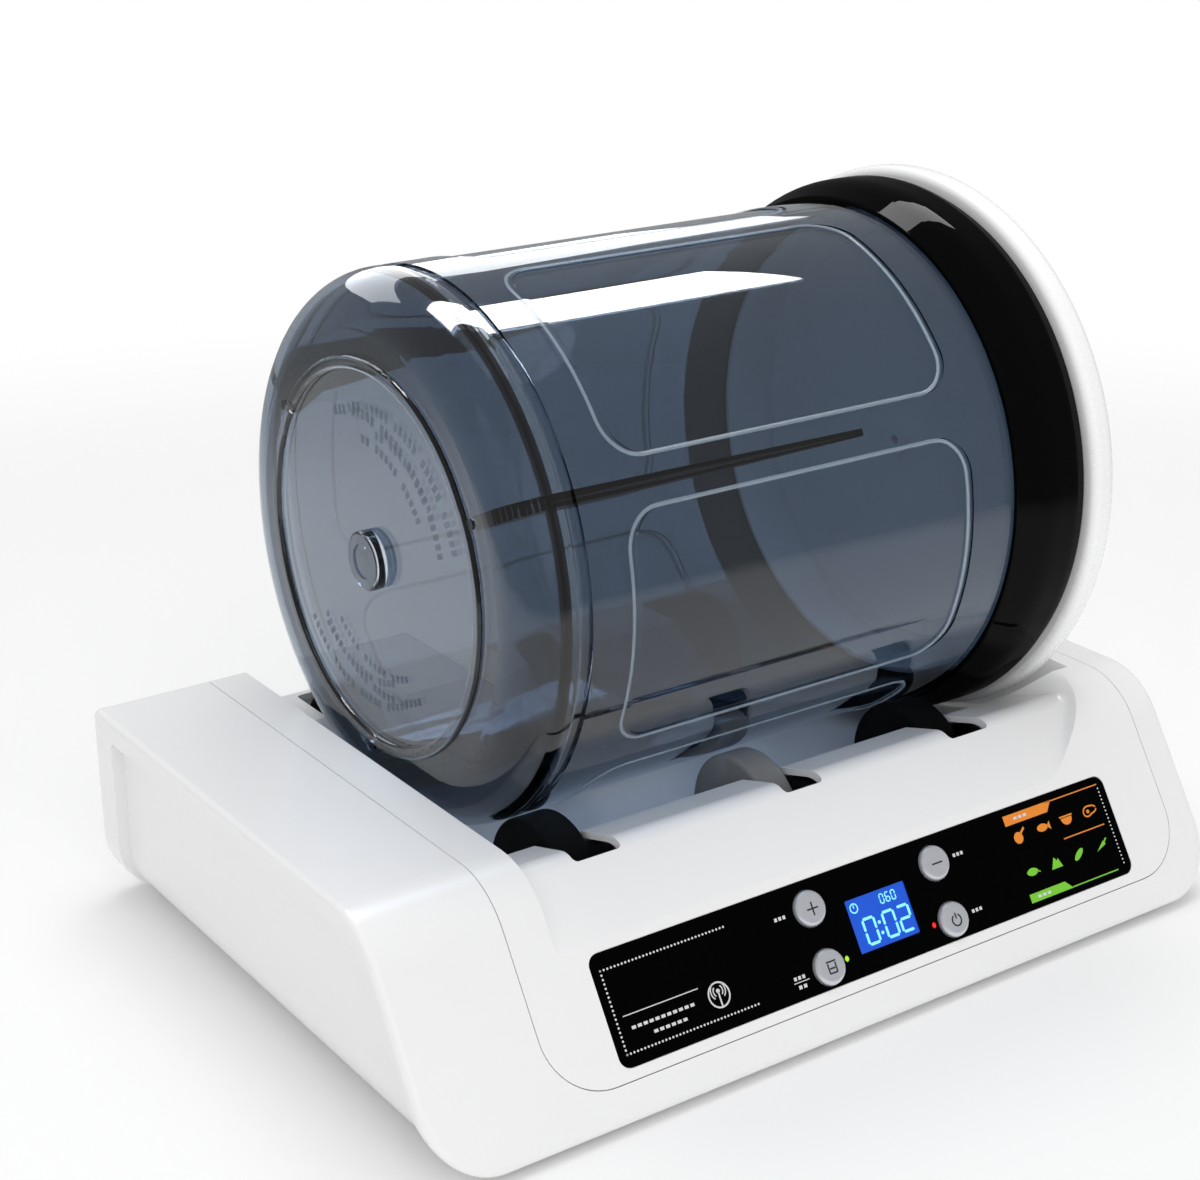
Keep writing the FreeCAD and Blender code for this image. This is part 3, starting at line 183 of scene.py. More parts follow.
# smoky clear polycarbonate: a tinted clear wall that lets lamp light through as a tinted shadow, paler in the
# disc at its end as painted light, with a painted lit band and a painted shadow line round the shoulder where its
# groove is
def smokyPlastic(name, look):
    g = Graph(name)
    flow = g.noise(14.0, 2.0, 0.5, (0.35, 1.0, 1.0))
    along = g.axis("X")
    across = g.add("ShaderNodeVectorMath", {"operation": "MULTIPLY"},
                   {0: g.add("ShaderNodeVectorMath", {"operation": "SUBTRACT"},
                             {0: g.place(), 1: look["middle"]}).outputs[0], 1: (0.0, 1.0, 1.0)})
    radius = g.out(g.add("ShaderNodeVectorMath", {"operation": "LENGTH"}, {0: across.outputs[0]}), "Value")
    disc = (1.0 - radius.ramp(*look["discEdge"])) * (1.0 - along.ramp(*look["discDepth"]))
    tint = g.blend(flow, look["tint"], look["deepTint"])
    # painted light: a pale band where the wall of the shoulder groove catches light
    tint = g.blend(along.band(*look["paintedLitBand"], 0.0004), tint, look["paintedLitTint"])
    # painted shadow: a near-black line where the wall of the shoulder groove lies in shade
    tint = g.blend(along.band(*look["paintedShadowLine"], 0.0003), tint, look["paintedShadowLineTint"])
    # painted light: the end disc is paler than the wall, and the hub keeps a tint near the wall's own
    end = g.blend(1.0 - radius.ramp(*look["hubEdge"]), look["paintedLightDiscTint"], look["hubTint"])
    g.set(colour=g.blend(disc, tint, end), roughness=look["roughness"],
          transmission=1.0, ior=look["ior"], coat=look["coat"], coatRoughness=0.0)
    g.bump(flow, look["ripple"])
    rays = g.add("ShaderNodeLightPath", {}, {})
    clear = g.add("ShaderNodeBsdfTransparent", {}, {"Color": look["shadowTint"]})
    mixed = g.add("ShaderNodeMixShader", {}, {0: rays.outputs["Is Shadow Ray"],
                                              1: g.shader.outputs[0], 2: clear.outputs[0]})
    g.feed(g.output.inputs["Surface"], mixed.outputs[0])
    return g.material


# distances along and from the drum's axis, in metres
drumLow, drumHigh = (np.array(corner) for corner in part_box("drum_body"))
drumEnd = float(drumLow[0])
drumMiddle = (drumLow + drumHigh) / 2
drumLook = {"tint": (0.205, 0.262, 0.335), "deepTint": (0.17, 0.22, 0.29), "shadowTint": (0.55, 0.58, 0.615),
            "roughness": 0.0, "ior": 1.5, "coat": 0.3, "ripple": 0.0001, "middle": tuple(drumMiddle.tolist()),
            # painted light: the pale tint of the end disc
            "paintedLightDiscTint": (0.80, 0.87, 0.94), "discEdge": (0.070, 0.076),
            "hubTint": (0.22, 0.26, 0.31), "hubEdge": (0.0105, 0.0118),
            "discDepth": (drumEnd + 0.004, drumEnd + 0.008),
            # painted light and painted shadow at the shoulder groove: a pale band and a near-black line
            "paintedLitBand": (drumEnd + 0.0215, drumEnd + 0.0265), "paintedLitTint": (0.36, 0.41, 0.46),
            "paintedShadowLine": (drumEnd + 0.0190, drumEnd + 0.0215), "paintedShadowLineTint": (0.004, 0.004, 0.005)}

smokyClear = smokyPlastic("smokyClear", drumLook)
shellWhite = mouldedPlastic("shellWhite", (0.86, 0.86, 0.86), (0.84, 0.84, 0.845), 0.22)
# whiter than the shell: partly the lid's own white, partly painted light that brightens its rim, which the lamps
# leave dim
lidWhitePaintedLight = mouldedPlastic("lidWhitePaintedLight", (0.95, 0.95, 0.95), (0.93, 0.935, 0.94), 0.24)
blackPlastic = mouldedPlastic("blackPlastic", (0.006, 0.007, 0.009), (0.010, 0.011, 0.013), 0.34, 0.00003)
gearNylon = mouldedPlastic("gearNylon", (0.75, 0.73, 0.66), (0.70, 0.67, 0.60), 0.4)
rubberBlack = rubber("rubberBlack", (0.002, 0.002, 0.002), (0.004, 0.004, 0.004))
rubberGrey = rubber("rubberGrey", (0.20, 0.20, 0.202), (0.24, 0.24, 0.242))
zincSteel = metal("zincSteel", (0.62, 0.63, 0.64), (0.50, 0.51, 0.53), 0.25)
bushBronze = metal("bushBronze", (0.60, 0.42, 0.22), (0.48, 0.32, 0.16), 0.35)


# polished black: no base reflection of its own, only a thin weak coat
def glossBlack(name, coat, gloss):
    g = Graph(name)
    fine = g.noise(700.0, 2.0)
    g.set(colour=g.blend(fine, (0.0004, 0.0005, 0.0006), (0.0009, 0.001, 0.0012)), specular=0.0,
          roughness=fine * 0.03 + gloss, coat=coat, coatRoughness=0.02)
    g.bump(g.noise(40.0, 1.0), 0.00002)
    return g.material


ringBlack = glossBlack("ringBlack", 0.18, 0.3)
panelBlack = glossBlack("panelBlack", 0.06, 0.3)
finBlack = glossBlack("finBlack", 0.05, 0.4)


# metallised key: half metal, with a fine sparkle under a coat
def silverDome(name):
    g = Graph(name)
    sparkle = g.noise(2200.0, 2.0)
    g.set(colour=g.blend(sparkle, (0.70, 0.72, 0.76), (0.58, 0.60, 0.65)), metallic=0.55,
          roughness=sparkle * 0.1 + 0.2, coat=0.6, coatRoughness=0.05)
    g.bump(sparkle, 0.000006)
    return g.material


buttonSilver = silverDome("buttonSilver")


# soft seal: cloudy, with a little light spread inside it
def silicone(name, colour):
    g = Graph(name)
    haze = g.noise(120.0, 3.0)
    g.set(colour=g.blend(haze, colour, tuple(0.8 * c for c in colour)), roughness=haze * 0.15 + 0.35,
          subsurface=0.15, subsurfaceScale=0.002)
    g.bump(haze, 0.00003)
    return g.material


sealSilicone = silicone("sealSilicone", (0.55, 0.57, 0.58))


# circuit board: green lacquer, darker along its tracks
def circuit(name):
    g = Graph(name)
    cells = g.add("ShaderNodeTexVoronoi", {"feature": "DISTANCE_TO_EDGE"}, {"Vector": g.place(), "Scale": 220.0})
    tracks = g.out(cells, "Distance").ramp(0.02, 0.05)
    g.set(colour=g.blend(tracks, (0.03, 0.16, 0.07), (0.012, 0.08, 0.035)), roughness=0.35)
    g.bump(tracks, 0.00003)
    return g.material


circuitGreen = circuit("circuitGreen")


# lit lens: a smooth cover whose glow drifts a little
def glowing(name, colour, glow, strength):
    g = Graph(name)
    cloud = g.noise(300.0, 2.0)
    g.set(colour=colour, roughness=cloud * 0.05 + 0.12, glowStrength=strength,
          glow=g.blend(cloud, glow, tuple(0.8 * c for c in glow)))
    return g.material


ledRed = glowing("ledRed", (0.5, 0.01, 0.01), (1.0, 0.02, 0.02), 0.9)
ledGreen = glowing("ledGreen", (0.2, 0.4, 0.02), (0.45, 0.9, 0.03), 0.8)
lcdBlue = glowing("lcdBlue", (0.02, 0.08, 0.5), (0.01, 0.12, 0.75), 0.8)
lcdGlass = glowing("lcdGlass", (0.004, 0.02, 0.12), (0.008, 0.085, 0.62), 1.0)

finishes = {"shell_white": shellWhite, "lid_white": lidWhitePaintedLight, "smoky_clear": smokyClear,
            "black_gloss": ringBlack, "black_plastic": blackPlastic, "panel_black": panelBlack,
            "button_silver": buttonSilver, "lcd_glass": lcdGlass, "lcd_blue": lcdBlue,
            "led_red": ledRed, "led_green": ledGreen, "rubber_black": rubberBlack,
            "rubber_grey": rubberGrey, "seal_silicone": sealSilicone, "zinc_steel": zincSteel,
            "bush_bronze": bushBronze, "gear_nylon": gearNylon, "circuit_green": circuitGreen}

for name, node in nodes.items():   # each node takes the finish of its own material slot
    for place, old in enumerate(node.data.materials):
        node.data.materials[place] = finishes[old.name.split(".")[0]]
nodes["mixing_fins"].data.materials[0] = finBlack   # duller than the ring whose slot they share
print("finishes on", len(nodes), "nodes")


# A flat mark is a set of closed outlines on the panel, in mm right of and down from its middle.
pressAxis = next(j["axis"] for j in frame["joints"] if j["name"] == "plus_press")
faceNormal = -np.array(pressAxis, float) / np.linalg.norm(pressAxis)
faceRight = np.array([1.0, 0.0, 0.0])
faceDown = np.cross(faceRight, faceNormal)
overlayLow, overlayHigh = (np.array(corner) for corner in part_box("panel_overlay"))
overlayThickness = 0.7 * mm
faceMiddle = (overlayLow + overlayHigh) / 2 + faceNormal * overlayThickness / 2


def facePoints(flat, lift):   # middle + right * x + down * y + normal * lift
    flat = np.asarray(flat, float) * mm
    return (faceMiddle + flat[:, :1] * faceRight + flat[:, 1:2] * faceDown
            + np.reshape(lift, (-1, 1)) * mm * faceNormal)


def faceSpot(node):   # where a node's middle falls on the panel, in mm
    low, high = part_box(node)
    middle = (np.array(low) + np.array(high)) / 2 - faceMiddle
    return np.array([middle @ faceRight, middle @ faceDown]) / mm


# top of a key: the height of its own surface above the panel, against the distance from its middle
keySkirt = 0.2   # what stands lower than this above the panel isn't the key's top, in mm


def keyTop(node, x, y):
    mesh = nodes[node].data
    verts = np.empty(len(mesh.vertices) * 3)
    mesh.vertices.foreach_get("co", verts)
    verts = verts.reshape(-1, 3) - faceMiddle
    flat = np.column_stack([verts @ faceRight, verts @ faceDown]) / mm
    high = verts @ faceNormal / mm
    away = np.hypot(flat[:, 0] - x, flat[:, 1] - y)
    outer = high > keySkirt
    order = np.argsort(away[outer])
    return lambda outline: np.interp(np.hypot(outline[:, 0] - x, outline[:, 1] - y),
                                     away[outer][order], high[outer][order])


def addPiece(name, verts, faces, material, body, slot, smooth=False):
    mesh = bpy.data.meshes.new(name)
    mesh.from_pydata(np.asarray(verts).tolist(), [], faces)
    mesh.validate()
    mesh.polygons.foreach_set("use_smooth", [smooth] * len(mesh.polygons))
    piece = bpy.data.objects.new(name, mesh)
    scene.collection.objects.link(piece)
    mesh.materials.append(material)
    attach(piece, body)
    return piece


# a thin plate over each outline: the outline lifted by its thickness, and walls down into the face
markSeat = 0.02   # how far the walls go in, in mm


def marks(name, outlines, material, body, slot, lift=0.0, thickness=0.06, dome=None):
    verts, faces, start = [], [], 0
    for outline in outlines:
        outline = np.asarray(outline, float)
        x, y = outline[:, 0], outline[:, 1]
        area = np.sum(x * np.roll(y, -1) - y * np.roll(x, -1))
        if area > 0:   # down runs along y, so a clockwise outline faces out
            outline = outline[::-1]
        count = len(outline)
        base = np.full(count, lift) if dome is None else dome(outline)
        verts.append(np.vstack([facePoints(outline, base + thickness), facePoints(outline, base - markSeat)]))
        here = np.arange(count)
        after = np.roll(here, -1)
        faces.append([tuple(start + here)])
        faces.append(np.column_stack([start + after, start + here, start + count + here,
                                      start + count + after]).tolist())
        faces.append([tuple(start + count + here[::-1])])
        start += 2 * count
    return addPiece(name, np.vstack(verts), [f for group in faces for f in group], material, body, slot)


def disc(x, y, radius, count=24):   # centre + radius * (cos a, sin a)
    a = np.linspace(0, 2 * math.pi, count, endpoint=False)
    return np.column_stack([x + radius * np.cos(a), y + radius * np.sin(a)])


def arcLine(x, y, radius, start, end, count=24):   # as a disc's edge, but from start to end degrees
    a = np.radians(np.linspace(start, end, count))
    return np.column_stack([x + radius * np.cos(a), y + radius * np.sin(a)])


def stroke(line, width):   # the line moved half its width to each side, joined end to end
    line = np.asarray(line, float)
    ahead = np.gradient(line, axis=0)
    ahead /= np.linalg.norm(ahead, axis=1)[:, None]
    side = np.column_stack([-ahead[:, 1], ahead[:, 0]]) * width / 2
    return np.vstack([line + side, (line - side)[::-1]])


def bar(x0, y0, x1, y1, width):
    return stroke([(x0, y0), (x1, y1)], width)


def ring(x, y, radius, width, count=32):   # two half circles, each a stroke
    return [stroke(arcLine(x, y, radius, start, start + 180, count // 2), width) for start in (0, 180)]


def dashes(x, y, count, dash=1.7, pitch=2.5, tall=1.1):   # plain bars where a caption stands
    return [bar(x + i * pitch, y, x + i * pitch + dash, y, tall) for i in range(count)]


def dottedLine(x0, y0, x1, y1, pitch, radius):   # discs at even steps from one end to the other
    count = int(math.hypot(x1 - x0, y1 - y0) / pitch) + 1
    spots = np.column_stack([np.linspace(x0, x1, count), np.linspace(y0, y1, count)])
    return [disc(x, y, radius, 8) for x, y in spots]


# printed ink: even colour with a fine speck, and its own glow where it is lit
def ink(name, colour, glow=0.0):
    g = Graph(name)
    speck = g.noise(1500.0, 2.0)
    g.set(colour=g.blend(speck, colour, tuple(0.9 * c for c in colour)), roughness=speck * 0.1 + 0.4,
          specular=0.3)
    if glow:
        g.set(glow=colour, glowStrength=glow)
    return g.material


inkWhite = ink("inkWhite", (0.70, 0.70, 0.68))
inkOrange = ink("inkOrange", (0.86, 0.27, 0.03))
inkGreen = ink("inkGreen", (0.20, 0.62, 0.04))
inkDark = ink("inkDark", (0.02, 0.024, 0.03))
inkCyan = ink("inkCyan", (0.20, 0.62, 0.95), 0.7)

# left field: a dotted frame open on its right side, a rule, two captions and an emblem
leftField = {"left": -121.0, "right": -68.0, "top": -14.0, "bottom": 15.5, "lowerReach": 4.0, "dot": 0.42,
             "pitch": 1.5, "ruleInset": 3.0, "ruleEnd": -86.0, "ruleAt": 3.0, "ruleWidth": 0.35,
             "captions": ((5.0, 7.6, 11), (13.0, 11.4, 6))}
emblem = {"at": (-78.4, 7.6), "radius": 4.4, "line": 0.6, "mastTop": -1.2, "mastFoot": 4.2, "ballUp": 1.4,
          "ballRadius": 0.8, "reaches": (2.0, 3.1), "spread": 50, "arcWidth": 0.45}
f = leftField
leftMarks = dottedLine(f["left"], f["top"], f["right"], f["top"], f["pitch"], f["dot"])
leftMarks += dottedLine(f["left"], f["top"], f["left"], f["bottom"], f["pitch"], f["dot"])
leftMarks += dottedLine(f["left"], f["bottom"], f["right"] + f["lowerReach"], f["bottom"], f["pitch"], f["dot"])
leftMarks += [bar(f["left"] + f["ruleInset"], f["ruleAt"], f["ruleEnd"], f["ruleAt"], f["ruleWidth"])]
e = emblem
ex, ey = e["at"]
ballY = ey - e["ballUp"]
leftMarks += ring(ex, ey, e["radius"], e["line"])
leftMarks += [bar(ex, ey + e["mastTop"], ex, ey + e["mastFoot"], e["line"]), disc(ex, ballY, e["ballRadius"], 12)]
for reach in e["reaches"]:
    for side in (0, 180):
        arc = arcLine(ex, ballY, reach, side - e["spread"], side + e["spread"], 10)
        leftMarks.append(stroke(arc, e["arcWidth"]))
for inset, row, count in f["captions"]:
    leftMarks += dashes(f["left"] + inset, row, count)
marks("leftFieldMarks", leftMarks, inkWhite, "base", "panel_black")

# right field: an orange and a green band, each with a slanted end, joined by a frame line
rightField = {"bandLeft": 69.6, "bandRight": 92.0, "slant": 3.4, "orangeTop": -17.2, "orangeBottom": -13.2,
              "greenTop": 14.2, "greenBottom": 17.6, "edge": 121.0, "line": 0.45, "lineIn": 0.3,
              "ruleInset": 26.0, "ruleShort": 3.0, "ruleAt": -1.2, "greenShort": 4.0, "edgeInset": 2.0,
              "dotPitch": 1.5, "dot": 0.35, "captions": ((5.0, -15.2), (4.0, 15.9)), "captionLift": 0.06,
              "rowOrange": -8.2, "rowGreen": 6.4, "firstSign": 75.0, "signStep": 12.6}
f = rightField
orangeEdge = f["orangeTop"] + f["lineIn"]
greenEdge = f["greenBottom"] - f["lineIn"]
orangeBand = [(f["bandLeft"], f["orangeTop"]), (f["bandRight"] + f["slant"], f["orangeTop"]),
              (f["bandRight"], f["orangeBottom"]), (f["bandLeft"], f["orangeBottom"])]
greenBand = [(f["bandLeft"], f["greenTop"]), (f["bandRight"] - f["slant"], f["greenTop"]),
             (f["bandRight"], f["greenBottom"]), (f["bandLeft"], f["greenBottom"])]
bandDashes = [mark for inset, row in f["captions"] for mark in dashes(f["bandLeft"] + inset, row, 3)]
marks("bandDashes", bandDashes, inkWhite, "base", "panel_black", lift=f["captionLift"])
marks("orangeBand", [orangeBand, bar(f["bandRight"], orangeEdge, f["edge"], orangeEdge, f["line"]),
                     bar(f["bandLeft"] + f["ruleInset"], f["ruleAt"], f["edge"] - f["ruleShort"], f["ruleAt"],
                         f["line"])], inkOrange, "base", "panel_black")
marks("greenBand", [greenBand, bar(f["bandRight"], greenEdge, f["edge"] - f["greenShort"], greenEdge, f["line"])],
      inkGreen, "base", "panel_black")
marks("rightEdgeDots", dottedLine(f["edge"], f["orangeTop"] + f["edgeInset"], f["edge"],
                                  f["greenBottom"] - f["edgeInset"], f["dotPitch"], f["dot"]),
      inkWhite, "base", "panel_black")


# food signs: each is a few closed outlines drawn inside a circle of about 4 mm radius
def foodSign(kind, x, y):
    if kind == "drumstick":
        return [disc(x - 1.0, y + 0.6, 2.3, 20), bar(x + 0.6, y - 0.8, x + 3.0, y - 2.6, 0.9)]
    if kind == "fish":
        tail = [(x + 1.6, y), (x + 3.6, y - 1.7), (x + 3.6, y + 1.7)]
        body = np.column_stack([x - 0.6 + 2.8 * np.cos(np.linspace(0, 2 * math.pi, 24, False)),
                                y + 1.5 * np.sin(np.linspace(0, 2 * math.pi, 24, False))])
        return [body, tail]
    if kind == "steak":
        a = np.linspace(0, 2 * math.pi, 28, False)
        r = 2.5 + 0.45 * np.cos(2 * a + 0.6) + 0.25 * np.cos(3 * a)
        loop = np.column_stack([x + 1.2 * r * np.cos(a), y + 0.85 * r * np.sin(a)])
        return [stroke(loop[:15], 0.6), stroke(loop[14:], 0.6), disc(x - 0.8, y + 0.2, 0.8, 12)]
    if kind == "bowl":
        half = arcLine(x, y - 0.6, 2.9, 0, 180, 16)
        return [half, bar(x - 3.4, y - 1.2, x + 3.4, y - 1.2, 0.6)]
    if kind == "leaf":
        a = np.linspace(0, math.pi, 16)
        top = np.column_stack([x + 3.0 * np.cos(a), y - 1.5 * np.sin(a) * np.sin(a) ** 0.4])
        return [np.vstack([top, np.column_stack([top[::-1, 0], 2 * y - top[::-1, 1]])[1:-1]]),
                bar(x + 2.6, y, x + 3.8, y + 0.9, 0.5)]
    if kind == "carrot":
        return [[(x - 3.0, y + 1.6), (x + 1.6, y - 1.8), (x + 2.4, y - 0.2)],
                bar(x + 1.8, y - 1.0, x + 3.4, y - 2.4, 0.6)]
    if kind == "heap":
        return [[(x - 2.9, y + 2.0), (x - 0.4, y - 2.4), (x + 0.8, y - 0.8), (x + 1.6, y - 1.6),
                 (x + 3.0, y + 2.0)]]
    a = np.linspace(0, 2 * math.pi, 24, False)   # pod
    return [np.column_stack([x + 3.2 * np.cos(a) * np.cos(0.6) - 1.2 * np.sin(a) * np.sin(0.6),
                             y - 3.2 * np.cos(a) * np.sin(0.6) - 1.2 * np.sin(a) * np.cos(0.6)])]


signs = []
for i, kind in enumerate(("drumstick", "fish", "bowl", "steak")):
    signs += foodSign(kind, f["firstSign"] + i * f["signStep"], f["rowOrange"])
marks("meatSigns", signs, inkOrange, "base", "panel_black")
signs = []
for i, kind in enumerate(("leaf", "heap", "pod", "carrot")):
    signs += foodSign(kind, f["firstSign"] + i * f["signStep"], f["rowGreen"])
marks("vegetableSigns", signs, inkGreen, "base", "panel_black")
print("panel printed")

# display: lit glass with large digits and a colon, and above them a small clock and a row of small digits
display = {"large": ((-7.2, "0"), (2.2, "0"), (9.4, "2")), "largeTop": -1.6, "largeSize": (5.2, 9.4, 1.05),
           "colonAt": -2.6, "colonRows": (1.2, 5.2), "colonRadius": 0.7,
           "clockAt": (-11.6, -6.6), "clockRadius": 1.7, "clockLine": 0.5, "handTop": -7.8, "handLine": 0.45,
           "small": "060", "smallLeft": 1.0, "smallStep": 2.8, "smallTop": -8.2, "smallSize": (1.7, 3.4, 0.5),
           "lift": 0.35, "thickness": 0.05}
lcdX, lcdY = faceSpot("lcd_backlight")


# seven bars a to g, as on a clock: each a line between two corners of the digit, cut to a point at its ends
def segments(figure, x, y, wide, high, thick):
    on = {"0": "abcdef", "2": "abged", "6": "afedcg"}[figure]
    bars = {"a": (0, 0, 1, 0), "b": (1, 0, 1, 0.5), "c": (1, 0.5, 1, 1), "d": (0, 1, 1, 1),
            "e": (0, 0.5, 0, 1), "f": (0, 0, 0, 0.5), "g": (0, 0.5, 1, 0.5)}
    made = []
    for key in on:
        x0, y0, x1, y1 = bars[key]
        start = np.array([x + x0 * wide, y + y0 * high])
        end = np.array([x + x1 * wide, y + y1 * high])
        ahead = (end - start) / np.linalg.norm(end - start)
        side = np.array([-ahead[1], ahead[0]]) * thick / 2
        cut = ahead * thick * 0.55
        made.append([start + cut * 0.3, start + cut + side, end - cut + side,
                     end - cut * 0.3, end - cut - side, start + cut - side])
    return made


d = display
figures = []
for place, figure in d["large"]:
    figures += segments(figure, lcdX + place - d["largeSize"][0] / 2, lcdY + d["largeTop"], *d["largeSize"])
figures += [disc(lcdX + d["colonAt"], lcdY + row, d["colonRadius"], 12) for row in d["colonRows"]]
clockX, clockY = lcdX + d["clockAt"][0], lcdY + d["clockAt"][1]
figures += ring(clockX, clockY, d["clockRadius"], d["clockLine"], 20)
figures += [bar(clockX, clockY, clockX, lcdY + d["handTop"], d["handLine"])]
for i, figure in enumerate(d["small"]):
    figures += segments(figure, lcdX + d["smallLeft"] + i * d["smallStep"], lcdY + d["smallTop"], *d["smallSize"])
marks("displayFigures", figures, inkCyan, "base", "lcd_blue", lift=d["lift"], thickness=d["thickness"])
print("display lit")

# signs on the keys: thin plates that follow each dome
keySign = {"reach": 2.5, "line": 0.55, "lift": 0.05, "thickness": 0.06, "step": 0.5}


def fine(x0, y0, x1, y1, width):   # a bar with points at every step, so that it bends with the dome
    count = max(int(math.hypot(x1 - x0, y1 - y0) / keySign["step"]) + 1, 3)
    return stroke(np.column_stack([np.linspace(x0, x1, count), np.linspace(y0, y1, count)]), width)


def keyOutlines(kind, x, y):
    r, w = keySign["reach"], keySign["line"]
    if kind == "plus":
        return [fine(x - r, y, x + r, y, w), fine(x, y - r, x, y - w / 2, w), fine(x, y + w / 2, x, y + r, w)]
    if kind == "minus":
        return [fine(x - r, y, x + r, y, w)]
    if kind == "power":   # open circle with a bar through the gap
        return [stroke(arcLine(x, y + 0.3, r * 0.85, -60, 240, 30), w), fine(x, y - r, x, y - 0.2, w)]
    jar = [(x - 1.7, y - 1.5), (x - 1.7, y + 2.1), (x + 1.7, y + 2.1), (x + 1.7, y - 1.5)]   # lidded jar
    return ([fine(*a, *b, w) for a, b in zip(jar, jar[1:])]
            + [fine(x - 2.2, y - 2.1, x + 2.2, y - 2.1, w), fine(x - 1.2, y + 0.4, x + 1.2, y + 0.4, w)])


for kind in ("plus", "minus", "mode", "power"):
    node = kind + "_button"
    x, y = faceSpot(node)
    top = keyTop(node, x, y)
    marks(kind + "Sign", keyOutlines(kind, x, y), inkDark, node + "_cap", "button_silver",
          thickness=keySign["thickness"], dome=lambda outline: top(outline) + keySign["lift"])

# captions beside the keys: a row of bars, and by the mode key a second row under a rule
keyCaption = {"starts": {"plus_button": -16.0, "mode_button": -16.0, "minus_button": 10.0, "power_button": 10.0},
              "row": -0.4, "dash": 1.2, "pitch": 1.9, "tall": 1.3,
              "ruleFrom": -16.5, "ruleTo": -9.5, "ruleRow": 1.1, "ruleWidth": 0.3,
              "secondStart": -15.0, "secondRow": 2.9, "secondDash": 1.4, "secondPitch": 2.2}
k = keyCaption
captionBars = []
for node, start in k["starts"].items():
    x, y = faceSpot(node)
    captionBars += dashes(x + start, y + k["row"], 3, k["dash"], k["pitch"], k["tall"])
x, y = faceSpot("mode_button")
captionBars += [bar(x + k["ruleFrom"], y + k["ruleRow"], x + k["ruleTo"], y + k["ruleRow"], k["ruleWidth"])]
captionBars += dashes(x + k["secondStart"], y + k["secondRow"], 2, k["secondDash"], k["secondPitch"], k["tall"])
marks("keyCaptions", captionBars, inkWhite, "base", "panel_black")
print("keys signed")

# half-clear finish for thin trim on the drum: the wall behind it shows through
def tintedFilm(name, colour, cover, gloss):
    g = Graph(name)
    cloud = g.noise(200.0, 2.0)
    g.set(colour=colour, roughness=cloud * 0.1 + gloss, alpha=cloud * 0.1 + cover)
    return g.material


embossBlue = tintedFilm("embossBlue", (0.07, 0.10, 0.14), 0.32, 0.3)
# pale and half clear: a painted highlight along the edges of the barrel's panels
edgeHighlightPaint = tintedFilm("edgeHighlightPaint", (0.50, 0.60, 0.70), 0.28, 0.2)

# end of the drum: rows of small plain bars in arcs, each with its radius, its two ends in degrees up from the
# front, and its height; every sixth bar is left out
endRows = {"rows": ((56.0, 18, 112, 3.6), (47.0, 34, 96, 3.0), (46.0, 228, 296, 2.6), (55.0, 220, 304, 2.8)),
           "pitch": 3.4, "width": 2.1, "rise": 0.12, "seat": 0.05, "sunk": 1.6, "word": 6}
discFace = drumEnd + endRows["sunk"] * mm


def barRow(radius, start, stop, tall):   # corner = middle + radius * (-cos a, sin a) + half width across it
    count = int(math.radians(stop - start) * radius / endRows["pitch"])
    number = np.arange(count)
    number = number[number % endRows["word"] != endRows["word"] - 1]
    a = np.radians(start) + number * endRows["pitch"] / radius
    out = np.column_stack([-np.cos(a), np.sin(a)])
    side = np.column_stack([np.sin(a), np.cos(a)]) * endRows["width"] / 2
    low, high = out * (radius - tall / 2), out * (radius + tall / 2)
    return np.stack([low - side, high - side, high + side, low + side], 1)


def raisedBars(rows):   # each flat bar twice, out from the disc by its rise and in by its seat, closed as a box
    flat = np.vstack([barRow(*row) for row in rows])
    verts = np.empty((len(flat), 2, 4, 3))
    verts[..., 1:] = drumMiddle[1:] + flat[:, None] * mm
    verts[:, 0, :, 0] = discFace - endRows["rise"] * mm
    verts[:, 1, :, 0] = discFace + endRows["seat"] * mm
    quads = np.array([(0, 1, 2, 3), (0, 4, 5, 1), (1, 5, 6, 2), (2, 6, 7, 3), (3, 7, 4, 0), (7, 6, 5, 4)])
    faces = (quads[None] + 8 * np.arange(len(flat))[:, None, None]).reshape(-1, 4)
    return verts.reshape(-1, 3), faces.tolist()


addPiece("endBars", *raisedBars(endRows["rows"]), embossBlue, "drum", "smoky_clear")
print("drum end marked")

# ribs along the edges of the barrel's panels, pale as a painted highlight where the embossed edges catch light: a
# flat ribbon that follows a rounded rectangle
rib = {"radius": 105.0, "start": 47.0, "long": 155.0, "wide": 89.0, "corner": 14.0, "count": 6, "phase": -4.5,
       "width": 1.3, "rise": 0.12, "depth": 0.5, "step": 3.0, "cornerPoints": 9}


# quarter turns of corner * (cos a, sin a), and points at every step on the straight runs between them
def roundedLoop(x0, x1, half, r):
    middle, turns = (x0 + x1) / 2, []
    for x, v, first in ((x1, half, 0), (x0, half, 90), (x0, -half, 180), (x1, -half, 270)):
        a = np.radians(np.linspace(first, first + 90, r["cornerPoints"]))
        turns.append(np.column_stack([x + math.copysign(r["corner"], middle - x) + r["corner"] * np.cos(a),
                                      v - math.copysign(r["corner"], v) + r["corner"] * np.sin(a)]))
    loop = np.vstack(turns)
    run = np.roll(loop, -1, 0) - loop
    count = np.maximum((np.linalg.norm(run, axis=1) / r["step"]).astype(int), 1)
    which = np.repeat(np.arange(len(loop)), count)
    part = np.arange(len(which)) - np.repeat(np.cumsum(count) - count, count)
    return loop[which] + run[which] * (part / count[which])[:, None]


